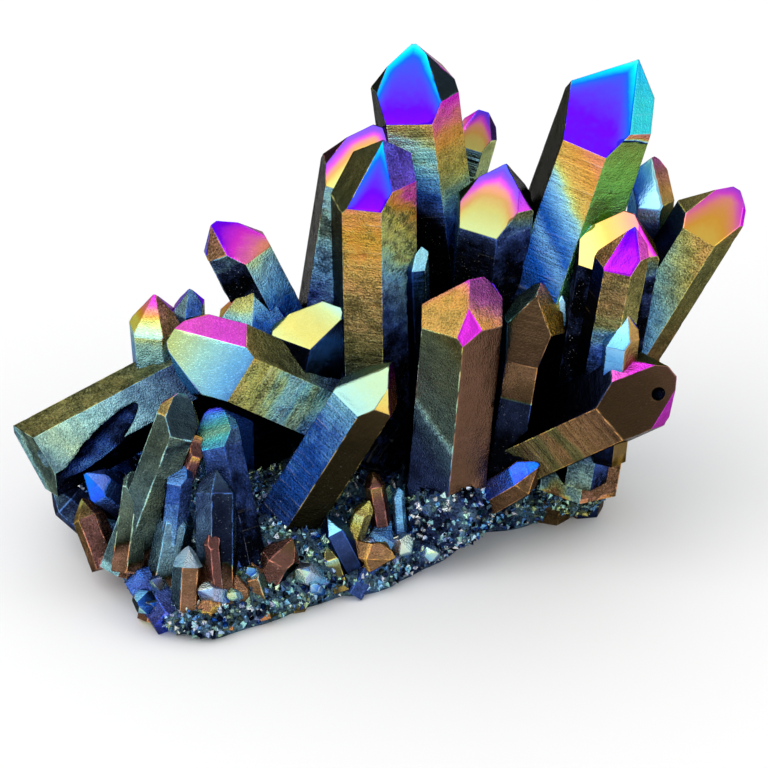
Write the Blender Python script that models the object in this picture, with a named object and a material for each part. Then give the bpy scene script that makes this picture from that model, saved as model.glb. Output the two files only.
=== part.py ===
# A cluster of aura quartz: long six-sided crystals and many small ones,
# grown together from one lump of rock that is sawn flat below.
# Lengths in the settings are millimetres, angles are degrees.
import math
import random

import bmesh
import bpy
from mathutils import Matrix, Vector, noise

NAME = "crystal_cluster"
MM = 0.001
# how near to a cutting plane a corner counts as on it, how close two corners
# count as one, and how far the first block of a crystal overshoots its length
HAIR = 0.0001
WELD = 0.01
BLOCK_MARGIN = 3.0

# how quartz grows: six sides, and a six-faced end at this slope to the axis
SIDES = 6
CAP_SLOPE = 38.2
FLAT = (1, 1, 1, 1, 1, 1)

# rock
ROCK_MIDDLE = (-4.0, 4.0)
ROCK_CROWN = 12.0
ROCK_ROUNDING = 0.9
ROCK_DEPTH = 12.0
ROCK_LUMP = 1.1
ROCK_LUMP_SIZE = 7.0
ROCK_LUMP_SHIFTS = (0.0, 40.0, 80.0)
ROCK_DETAIL = 4
KNOB_DETAIL = 2
# outline of the rock's foot, seen from above, and how high its rim stands
ROCK_RIM = (
    (-28.0, -29.6, 3.0),
    (-21.5, -30.8, 3.0),
    (-14.0, -26.5, 3.0),
    (-5.0, -20.5, 3.0),
    (7.0, -14.0, 3.0),
    (15.0, -5.0, 3.5),
    (24.0, -2.0, 5.0),
    (30.5, 1.0, 7.5),
    (32.5, 6.0, 8.0),
    (32.0, 14.0, 6.0),
    (25.0, 23.0, 5.0),
    (9.0, 27.5, 4.0),
    (-11.0, 27.5, 4.0),
    (-29.0, 22.0, 4.0),
    (-39.0, 13.0, 4.0),
    (-41.5, 4.0, 4.5),
    (-40.0, -4.0, 5.0),
    (-37.0, -12.0, 5.0),
    (-34.0, -19.0, 4.0),
    (-31.5, -24.0, 3.5),
)

# knobs of rock between the crystals: middle and half sizes
ROCK_KNOBS = (
    ((11.5, -2.5, 9), (7, 6, 10.5)),
    ((23, 4, 7.5), (9, 6, 7)),
    ((2, 14, 8), (13, 8, 6)),
    ((-35, 5, 6), (3.5, 3.5, 3.5)),
    ((-37.5, 11, 4.5), (2.5, 2.5, 2)),
    ((5, 27.3, 3.9), (3, 2.4, 2)),
    ((9.5, -9.5, 8), (6.5, 6.5, 6)),
    ((27, -2.5, 9.5), (5.5, 6, 7)),
)

# each crystal: its tip, a point on its axis lower down, its width across
# flats, the turn of its front side, how far above the tip each of the six
# end faces would cross the axis, and how wide each side stands
BURIED = 12.0
CRYSTALS = (
    # the tall ones
    dict(tip=(4.5, 9, 65), root=(12, 9, 4.5), across=10.3, turn=-13,
         heads=(0, 2.7, 3.7, 4, 3, 3.3), sides=(1, 1.05, 1, 1, 1, 1)),
    dict(tip=(31, 5, 63.5), root=(19, 3, 22), across=11.1, turn=-24,
         heads=(0, 3.3, 7, 7.5, 4.1, 7.5), sides=(1.03, 1.04, 1.05, 1, 1, 0.93),
         taper=1),
    dict(tip=(-0.5, 1, 57), root=(0, 1, 10.5), across=10.3, turn=-15,
         heads=(0, 1.6, 5, 1.3, 3, -1.2), sides=(1.07, 0.97, 1, 1.07, 0.94, 1)),
    dict(tip=(-1, 7, 56.5), root=(-6.5, 7, 15), across=10.4, turn=-22,
         heads=(1, 3, 3, 1.3, 0.5, -0.2), taper=1),
    dict(tip=(16, 2, 51.5), root=(13.5, 2, 18), across=9.6, turn=-28,
         heads=(0, 3.3, 3, 4, 2.4, 2.7)),
    dict(tip=(14, 17, 52.5), root=(10.5, 15, 39.5), across=5, turn=-18,
         heads=(0, -0.2, 3, 3, 3, 1), buried=34),
    # the right-hand group
    dict(tip=(31.5, -2, 48.5), root=(28.5, -3, 24), across=10.5, turn=-28,
         heads=(0, 2.5, 2, 0.6, 0.4, 2.6), buried=16),
    dict(tip=(32.5, -8, 48), root=(29, -8, 20.5), across=6.7, turn=-15,
         heads=(0, 1, 3, 3, 1, 0), buried=9),
    dict(tip=(46, 4, 48), root=(31.5, 2, 20.5), across=8.4, turn=-17,
         heads=(0, 3.4, 4, 3, 1.7, 1.5), sides=(1, 1, 0.8, 1, 1, 1)),
    dict(tip=(37, 8.5, 48.5), root=(36, 7.5, 25.5), across=5.5, turn=-10,
         heads=(0, 0.5, 3.8, 5, 3.8, 3.8), buried=10),
    dict(tip=(32, -11, 37), root=(31.5, -11, 28.5), across=4.4, turn=-20,
         heads=(0, 1, 2, 2, 2, 0)),
    dict(tip=(24.5, -3, 37), root=(25, -3, 31.5), across=1.5, turn=0,
         heads=(0, 0, 0, 0, 0, 0)),
    # the front row
    dict(tip=(11.5, -6, 41.7), root=(9, -8, 8.2), across=10.6, turn=-27,
         heads=(0, 0.8, 3.6, 1.5, -1.8, 2.5), cuts=((12, 30, 1.35),), buried=3),
    dict(tip=(21, -5, 36.5), root=(17, -6, 16), across=7.8, turn=-15,
         heads=(None, 2.2, 4, 5.5, 6, 3.2), cuts=((-15, 22, 0.25),)),
    dict(tip=(37.5, -14, 30), root=(19.5, -5, 14.5), across=10.2, turn=-6,
         heads=(-1, 2, 3, 3, 3, 2), name="leaning_right"),
    dict(tip=(1.5, -10, 30.5), root=(-14, -12, 3.5), across=8.2, turn=15,
         heads=(0.8, 0, 3, 2, -1, -1.5), sides=(1.1, 1, 1, 1, 1, 1), buried=6),
    dict(tip=(6.5, -1, 42), root=(7, -1, 29), across=4.5, turn=-50,
         heads=(0, 0, 2, 2, 2, 0), buried=16),
    # the left-hand group
    dict(tip=(-20, 6, 42), root=(-9.5, 6, 24.5), across=8.4, turn=-16,
         heads=(2.2, 0, 1.5, 1.2, 2, 4)),
    dict(tip=(-16.5, 1, 35), root=(-16.5, 1, 21.5), across=9.5, turn=-32,
         heads=(0, 0, 2, 0, 2, 2)),
    dict(tip=(-11, -3, 37.5), root=(-6, -1, 27), across=9.5, turn=12,
         heads=(0, 2, 0, -3.5, 0, 2)),
    dict(tip=(-24, -8, 31.5), root=(-7.5, -3, 20), across=10.5, turn=12,
         heads=(-0.3, 2, 6, 6, 6, 3.5), sides=(0.85, 1, 1, 0.85, 1, 1), buried=10),
    dict(tip=(-30, 3, 33), root=(-29, 3, 20.5), across=6.2, turn=-20,
         heads=(0, 0, 1, 1, 1, 0), buried=14),
    dict(tip=(-25.5, 4, 33.5), root=(-25.5, 4, 21.5), across=4.2, turn=-35,
         heads=(0, 0, 1, 1, 1, 0), buried=14),
    # the broken one that lies out to the left
    dict(tip=(-47, -8, 13.5), root=(-20.5, 4, 23), across=9.8, turn=28,
         heads=(None, None, None, None, None, None),
         cuts=((10, 78, -1.1), (200, 50, 1)), buried=8, name="broken_left"),
    # splinters on the left slope
    dict(tip=(-25.5, -13, 25.5), root=(-32.5, -19, 8), across=5.6, turn=20,
         heads=(0, 2, 3, 3, 3, 2), buried=4),
    dict(tip=(-21.5, -12, 23), root=(-18, -19, 8), across=5.5, turn=-10,
         heads=(0, 2, 3, 3, 3, 2), buried=6),
    dict(tip=(-31.5, -16, 15.5), root=(-33, -22, 6), across=4, turn=30,
         heads=(0, 2, 3, 3, 3, 2), buried=0.5),
    dict(tip=(-26, -18, 14), root=(-28.5, -24, 2.5), across=4.5, turn=0,
         heads=(0, 0, 1, 1, 1, 0), buried=3),
    dict(tip=(-21, -17, 18.5), root=(-21, -25, 4.5), across=5, turn=20,
         heads=(0, 0, 1, 1, 1, 0), buried=5),
    dict(tip=(-23.5, -15, 21), root=(-29, -20, 8), across=2.4, turn=15,
         heads=(0, 1, 2, 2, 2, 1), buried=4),
    dict(tip=(-24.5, -24, 10.5), root=(-25, -27.5, 3), across=3.6, turn=10,
         heads=(0, 0, 1, 1, 1, 0), buried=1.5),
    dict(tip=(-39.5, -12, 10.5), root=(-36.5, -16.5, 4.5), across=4, turn=10,
         heads=(0, 0, 1, 1, 1, 0), buried=1.5),
    dict(tip=(-32.5, -20, 5.5), root=(-28.5, -26, 3), across=4.5, turn=10,
         heads=(0, 0, 1, 1, 1, 0), buried=3),
    dict(tip=(-37.5, -12.5, 13), root=(-32.5, -12, 8.5), across=3.2, turn=-20,
         heads=(0, 0.5, 1, 1, 1, 0.5), buried=6),
    dict(tip=(-44, -8, 10), root=(-38, -10, 5), across=4.6, turn=10,
         heads=(0, 0, 1, 1, 1, 0), buried=3),
    dict(tip=(-25.8, -17, 18.7), root=(-27, -21, 9), across=3.4, turn=-20,
         heads=(0, 1, 2, 2, 2, 1), buried=5),
    dict(tip=(-21.5, -24, 12.1), root=(-20.7, -27, 3.7), across=2, turn=20,
         heads=(0, 1, 1, 1, 1, 0.5), buried=2),
    dict(tip=(-22.2, -27.5, 6), root=(-21.9, -28, 2.5), across=3.2, turn=-20,
         heads=(0, 0.5, 1, 1, 1, 0), buried=1.5),
    # short ones along the front rim
    dict(tip=(-16.6, -23, 7), root=(-15, -25, 2.5), across=2.6, turn=0,
         heads=(0, 0.5, 1, 1, 1, 0), buried=2),
    dict(tip=(-18, -25, 6.4), root=(-17.7, -26, 3), across=2.2, turn=25,
         heads=(0, 0, 1, 1, 1, 0.5), buried=2),
    dict(tip=(-11.5, -20, 9), root=(-15, -22, 3), across=4.6, turn=-10,
         heads=(0, 1, 1, 2, 1, 0), buried=2),
    dict(tip=(-10.3, -21.5, 5), root=(-10.5, -22, 1.5), across=2.6, turn=15,
         heads=(0, 0, 0.5, 0.5, 0.5, 0), buried=2),
    dict(tip=(-1.4, -14.5, 11.5), root=(-3.2, -16, 6.3), across=2.4, turn=-25,
         heads=(0, 0.5, 1, 1, 1, 0), buried=4),
    dict(tip=(-6.6, -15.5, 10), root=(-4.8, -17, 6.9), across=3.6, turn=15,
         heads=(0, 0, 1, 1, 1, 0), buried=4),
    dict(tip=(2.8, -12, 12.2), root=(3.1, -13, 8.3), across=1.6, turn=0,
         heads=(0, 0.5, 0.5, 0.5, 0.5, 0), buried=5),
    dict(tip=(2, -19, 5.5), root=(-7.5, -14, 4.5), across=4, turn=10,
         heads=(0, 0, 1, 1, 1, 0), buried=4),
    dict(tip=(2, -14, 8), root=(-2, -18, 2.5), across=3.5, turn=10,
         heads=(0, 0, 1, 1, 1, 0), buried=3),
    dict(tip=(-0.5, -12, 14.5), root=(1, -14, 5.5), across=2.5, turn=10,
         heads=(0, 0, 1, 1, 1, 0), buried=5),
    dict(tip=(-6.8, -17.5, 7), root=(-5.3, -19, 3), across=3.2, turn=10,
         heads=(0, 0, 1, 1, 1, 0), buried=2),
    dict(tip=(21.5, -12, 15.5), root=(15, -9, 9), across=4.5, turn=10,
         heads=(0, 0, 1, 1, 1, 0), buried=3),
    dict(tip=(30, 0, 12), root=(29, 2, 2), across=5, turn=10,
         heads=(0, 0, 1, 1, 1, 0), buried=2),
    dict(tip=(25.5, -3, 12), root=(24.5, 0, 2), across=4.5, turn=-15,
         heads=(0, 1, 1, 1, 1, 0), buried=2),
    # behind
    dict(tip=(21, 21, 29), root=(15, 13, 8), across=7.5, turn=20,
         heads=(0, 1.5, 0.5, 0, 2, 1)),
    dict(tip=(2, 21, 38), root=(2.5, 14, 12), across=8, turn=-10,
         heads=(2, 1, 0, 0.6, 0, 1.5)),
    dict(tip=(-8.5, 24.5, 21.5), root=(-5, 16.5, 6), across=6.4, turn=12,
         heads=(1, 2, 0, 0.4, 1, 2)),
    dict(tip=(11.5, 26.5, 27), root=(9, 17.5, 8), across=6, turn=-18,
         heads=(1, 1, 0.3, 0, 1.4, 2)),
    dict(tip=(-18.5, 22, 22.5), root=(-13, 13, 10), across=7, turn=25,
         heads=(1, 2, 0, 1, 0, 1)),
    dict(tip=(27, 25.5, 21), root=(20, 17, 7), across=5.4, turn=5,
         heads=(1, 0.4, 0, 0, 1, 1)),
    dict(tip=(-29.5, 19, 17.5), root=(-23, 11, 9), across=5.6, turn=-8,
         heads=(1, 2, 1, 0, 0.5, 1)),
    dict(tip=(32, 17, 21), root=(26, 11, 8), across=5.8, turn=15,
         heads=(1, 0.5, 0, 1, 1, 1)),
    dict(tip=(-39, 9, 12.5), root=(-31, 5, 7), across=5, turn=30,
         heads=(1, 1, 1, 0, 0, 1)),
    dict(tip=(-26, 14, 20), root=(-21, 8, 8), across=6.2, turn=-12,
         heads=(1, 2, 0, 0.5, 1, 1)),
    dict(tip=(-33, 14.5, 13), root=(-27, 9, 6), across=4.6, turn=40,
         heads=(1, 1, 0.4, 0, 0.6, 1)),
    dict(tip=(-12.5, 27, 17), root=(-9, 19, 6), across=5, turn=-25,
         heads=(1, 0, 1, 0.3, 0.8, 1)),
    dict(tip=(-24, 24.5, 13.5), root=(-19, 18, 6), across=4.4, turn=10,
         heads=(1, 0.5, 0, 1, 0.2, 0.6)),
    dict(tip=(5.4, 28.2, 15.5), root=(3, 20.2, 6), across=4.6, turn=30,
         heads=(1, 0, 0.5, 0.2, 1, 0.8)),
    dict(tip=(20, 27.5, 14), root=(17, 20.5, 5), across=4.2, turn=0,
         heads=(1, 1, 0, 0.4, 0.2, 1)),
    dict(tip=(-3, 20, 32), root=(-1.5, 12, 10), across=5.5, turn=35,
         heads=(0.6, 1, 0, 0.5, 1, 0.3)),
    dict(tip=(13, 20, 41), root=(11.5, 13, 12), across=5, turn=5,
         heads=(1, 0.7, 0, 0.4, 1, 1)),
    dict(tip=(-15, 15, 26), root=(-11, 9, 10), across=5.6, turn=-30,
         heads=(1, 1, 0, 0.6, 0.2, 1)),
)

# the hollow where a flake came off the broken crystal, and the round pit
# in the end of the leaning one: middle, half sizes, turns about x, y and z
HOLLOW = dict(middle=(-37.3, -10.6, 16.2), half=(8.2, 2.4, 3.4), turns=(0, -53, 22))
PIT = dict(middle=(36.93, -14.15, 28.14), half=(0.95, 0.95, 0.95), turns=(0, 0, 0))

# the crowd of small points on the rock
POINT_SEED = 8
POINT_COUNT = 108
POINT_REACH = (0.60, 1.0)
POINT_ACROSS = (1.3, 3.3)
POINT_LENGTH = (1.5, 2.6)
POINT_SINK = 0.45
POINT_SPREAD = 0.55
POINT_RISE = 1.15
POINT_FLATTEN = 0.5
POINT_TURN = (0, 60)
POINT_HEAD = 0.35
POINT_CLEAR_OF_GROUND = 1.2

SAW_SIZE = 140.0
SAW_DEPTH = 30.0


def crystal_frame(tip, root):
    # the axis, the way the front side faces, and the way to its right
    axis = (tip - root).normalized()
    front = Vector((0, -1, 0))
    front = (front - axis * front.dot(axis)).normalized()
    return axis, front, axis.cross(front)


def cut(bm, point, normal):
    # takes away all that lies beyond the plane and closes the opening
    everything = bm.verts[:] + bm.edges[:] + bm.faces[:]
    bmesh.ops.bisect_plane(bm, geom=everything, dist=HAIR, plane_co=point,
                           plane_no=normal, clear_outer=True)
    bmesh.ops.holes_fill(bm, edges=bm.edges[:])


def crystal_planes(tip, root, across, turn, heads, sides=FLAT, cuts=(), taper=0):
    # yields a point and an outward normal for every face of a crystal
    axis, front, right = crystal_frame(tip, root)
    lean = math.radians(taper)
    slope = math.radians(CAP_SLOPE)
    for i in range(SIDES):
        angle = math.radians(turn + i * 360 / SIDES)
        out = front * math.cos(angle) + right * math.sin(angle)
        side = out * math.cos(lean) + axis * math.sin(lean)
        yield tip + out * (across / 2 * sides[i]), side
        if heads[i] is not None:
            cap = out * math.cos(slope) + axis * math.sin(slope)
            yield tip + axis * heads[i], cap
    for around, above, shift in cuts:
        angle = math.radians(around)
        rise = math.radians(above)
        out = front * math.cos(angle) + right * math.sin(angle)
        normal = out * math.cos(rise) + axis * math.sin(rise)
        yield tip + normal * shift, normal
    yield root, -axis


def crystal_object(name, buried=BURIED, **shape):
    tip = Vector(shape.pop("tip"))
    root = Vector(shape.pop("root"))
    axis = (tip - root).normalized()
    root = root - axis * buried
    length = (tip - root).length
    bm = bmesh.new()
    bmesh.ops.create_cube(bm, size=1)
    bmesh.ops.scale(bm, vec=Vector((1, 1, 1)) * length * BLOCK_MARGIN, verts=bm.verts)
    bmesh.ops.translate(bm, vec=(tip + root) / 2, verts=bm.verts)
    for point, normal in crystal_planes(tip, root, **shape):
        cut(bm, point, normal)
    return finished_object(name, bm)


def finished_object(name, bm):
    bmesh.ops.remove_doubles(bm, verts=bm.verts, dist=WELD)
    bmesh.ops.recalc_face_normals(bm, faces=bm.faces)
    bmesh.ops.scale(bm, vec=Vector((MM, MM, MM)), verts=bm.verts)
    mesh = bpy.data.meshes.new(name)
    bm.to_mesh(mesh)
    bm.free()
    return bpy.data.objects.new(name, mesh)


def rim_at(angle):
    # reach of the rock's foot from its middle, and the rim's height there
    spokes = []
    for x, y, height in ROCK_RIM:
        dx = x - ROCK_MIDDLE[0]
        dy = y - ROCK_MIDDLE[1]
        spokes.append((math.atan2(dy, dx), math.hypot(dx, dy), height))
    spokes.sort()
    first = spokes[0]
    last = spokes[-1]
    spokes.insert(0, (last[0] - math.tau, last[1], last[2]))
    spokes.append((first[0] + math.tau, first[1], first[2]))
    for low, high in zip(spokes, spokes[1:]):
        if low[0] <= angle <= high[0]:
            part = (angle - low[0]) / (high[0] - low[0])
            return low[1] + (high[1] - low[1]) * part, low[2] + (high[2] - low[2]) * part
    return first[1], first[2]


def rock_point(angle, reach):
    # a point on the domed top of the rock
    length, rim = rim_at(angle)
    height = rim + (ROCK_CROWN - rim) * (1 - reach * reach) ** ROCK_ROUNDING
    return Vector((ROCK_MIDDLE[0] + math.cos(angle) * length * reach,
                   ROCK_MIDDLE[1] + math.sin(angle) * length * reach, height))


def lump_at(spot):
    # a smooth push that changes from place to place
    push = []
    for shift in ROCK_LUMP_SHIFTS:
        push.append(noise.noise(spot / ROCK_LUMP_SIZE + Vector((shift, shift, 0))))
    return Vector(push) * ROCK_LUMP


def rock_object():
    bm = bmesh.new()
    bmesh.ops.create_icosphere(bm, subdivisions=ROCK_DETAIL, radius=1)
    for vert in bm.verts:
        angle = math.atan2(vert.co.y, vert.co.x)
        reach = min(1.0, math.hypot(vert.co.x, vert.co.y))
        below = vert.co.z < 0
        spot = rock_point(angle, reach)
        if below:
            spot.z = rim_at(angle)[1] + vert.co.z * ROCK_DEPTH
        vert.co = spot + lump_at(spot)
    return finished_object(NAME, bm)


def rock_knobs():
    for number, (middle, half) in enumerate(ROCK_KNOBS):
        yield rounded("rock_knob_%d" % number, middle, half)


def small_points():
    # six-sided points crowding the rock, each leaning its own way
    chance = random.Random(POINT_SEED)
    for number in range(POINT_COUNT):
        angle = chance.uniform(-math.pi, math.pi)
        reach = chance.uniform(*POINT_REACH)
        across = chance.uniform(*POINT_ACROSS)
        length = across * chance.uniform(*POINT_LENGTH)
        outward = Vector((math.cos(angle), math.sin(angle), 0))
        jitter = Vector((chance.uniform(-1, 1), chance.uniform(-1, 1), chance.uniform(-1, 1)))
        way = outward * reach + Vector((0, 0, POINT_RISE - POINT_FLATTEN * reach)) + jitter * POINT_SPREAD
        way.normalize()
        foot = rock_point(angle, reach)
        foot.z = max(foot.z, POINT_CLEAR_OF_GROUND)
        tip = foot + way * length * (1 - POINT_SINK)
        root = foot - way * length * POINT_SINK
        heads = [chance.uniform(0, POINT_HEAD) * across for _ in range(SIDES)]
        yield crystal_object("small_point_%03d" % number, tip=tip, root=root, across=across,
                             turn=chance.uniform(*POINT_TURN), heads=heads, buried=0)


def rounded(name, middle, half, turns=(0, 0, 0)):
    # a rounded lump: a knob of rock, or the shape of a chip or a pit
    bm = bmesh.new()
    bmesh.ops.create_icosphere(bm, subdivisions=KNOB_DETAIL, radius=1)
    spin = Matrix.Identity(3)
    for axis_name, turn in zip("XYZ", turns):
        spin = Matrix.Rotation(math.radians(turn), 3, axis_name) @ spin
    for vert in bm.verts:
        stretched = Vector((vert.co.x * half[0], vert.co.y * half[1], vert.co.z * half[2]))
        vert.co = spin @ stretched + Vector(middle)
    return finished_object(name, bm)


def hide_helper(ob):
    ob.hide_render = True
    ob.display_type = "WIRE"


def add_boolean(ob, name, operation, other):
    modifier = ob.modifiers.new(name, "BOOLEAN")
    modifier.solver = "EXACT"
    modifier.operation = operation
    if isinstance(other, bpy.types.Collection):
        modifier.operand_type = "COLLECTION"
        modifier.collection = other
    else:
        modifier.object = other


def aura_material():
    material = bpy.data.materials.new("aura_quartz")
    material.use_nodes = True
    surface = material.node_tree.nodes["Principled BSDF"]
    surface.inputs["Base Color"].default_value = (0.12, 0.22, 0.42, 1)
    surface.inputs["Metallic"].default_value = 0.9
    surface.inputs["Roughness"].default_value = 0.22
    return material


for old in list(bpy.data.objects):
    bpy.data.objects.remove(old, do_unlink=True)

home = bpy.data.collections.new(NAME)
growth = bpy.data.collections.new("growth")
cutters = bpy.data.collections.new("cutters")
for collection in (home, growth, cutters):
    bpy.context.scene.collection.children.link(collection)

cluster = rock_object()
home.objects.link(cluster)

dents = {
    "broken_left": rounded("flake_scar", **HOLLOW),
    "leaning_right": rounded("round_pit", **PIT),
}
for cutter in dents.values():
    cutters.objects.link(cutter)
    hide_helper(cutter)

for order, settings in enumerate(CRYSTALS):
    shape = dict(settings)
    label = shape.pop("name", "crystal_%02d" % order)
    grown = crystal_object(label, **shape)
    growth.objects.link(grown)
    hide_helper(grown)
    if label in dents:
        add_boolean(grown, "dent", "DIFFERENCE", dents[label])

for grown in list(rock_knobs()) + list(small_points()):
    growth.objects.link(grown)
    hide_helper(grown)

saw = bmesh.new()
bmesh.ops.create_cube(saw, size=1)
bmesh.ops.scale(saw, vec=Vector((SAW_SIZE, SAW_SIZE, SAW_DEPTH)), verts=saw.verts)
bmesh.ops.translate(saw, vec=Vector((0, 0, -SAW_DEPTH / 2)), verts=saw.verts)
saw_cut = finished_object("saw_cut", saw)
cutters.objects.link(saw_cut)
hide_helper(saw_cut)

add_boolean(cluster, "grow together", "UNION", growth)
add_boolean(cluster, "saw flat", "DIFFERENCE", saw_cut)
cluster.data.materials.append(aura_material())
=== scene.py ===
import math
import random
import bpy
import bmesh
import numpy as np
from mathutils import Matrix, Vector, noise


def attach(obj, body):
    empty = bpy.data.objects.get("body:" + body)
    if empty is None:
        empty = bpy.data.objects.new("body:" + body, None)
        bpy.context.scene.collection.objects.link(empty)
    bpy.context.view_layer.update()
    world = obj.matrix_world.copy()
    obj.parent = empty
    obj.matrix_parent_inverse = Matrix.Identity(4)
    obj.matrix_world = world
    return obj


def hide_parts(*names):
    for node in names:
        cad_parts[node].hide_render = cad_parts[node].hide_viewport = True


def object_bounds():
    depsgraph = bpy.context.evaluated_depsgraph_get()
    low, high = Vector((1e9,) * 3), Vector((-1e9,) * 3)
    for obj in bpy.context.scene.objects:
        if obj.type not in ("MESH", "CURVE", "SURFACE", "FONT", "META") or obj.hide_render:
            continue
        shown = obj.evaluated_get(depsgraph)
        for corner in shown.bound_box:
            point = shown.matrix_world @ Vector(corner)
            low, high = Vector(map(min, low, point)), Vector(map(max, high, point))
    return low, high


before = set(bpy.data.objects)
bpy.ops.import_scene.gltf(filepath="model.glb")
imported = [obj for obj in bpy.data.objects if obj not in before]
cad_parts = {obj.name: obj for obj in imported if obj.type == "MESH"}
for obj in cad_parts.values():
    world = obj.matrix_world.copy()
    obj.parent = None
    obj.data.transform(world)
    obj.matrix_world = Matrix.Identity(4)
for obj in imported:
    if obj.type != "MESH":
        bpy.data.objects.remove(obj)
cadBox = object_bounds()
print("frame loaded")

mm = 0.001
clusterNode = "crystal_cluster"
bodyName = "root"

quartz = {
    "sides": 6,
    "capSlope": 38.2,  # degrees between an end face and the long axis
    "buried": 12,  # mm that a crystal goes on below its root, unless it says otherwise
}


# film runs azure, violet, pink, gold, pale green, sky, navy, then green as the
# coat thickens, and tone paints light into it: below 1 it darkens it as painted shade
# and painted dark reflection, above 1 it whitens it as a painted highlight
def coat(*stops, coarse=0.15, bands=0.12, rim=0.0, reach=0.9, slant=0.0):
    rows = [stop if len(stop) == 3 else (stop[0], stop[1], 1.0) for stop in stops]
    return dict(stops=rows, coarse=coarse, bands=bands, rim=rim, reach=reach, slant=slant)


# nearBlack is painted shade: a near-black coat for faces that lie deep in shadow between crystals
nearBlack = coat((0, 1.0, 0.35), (12, 1.0, 0.2))
navy = coat((0, 0.97, 0.8), (6, 1.0, 0.8), (20, 1.0, 0.4), bands=0.4)
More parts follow.
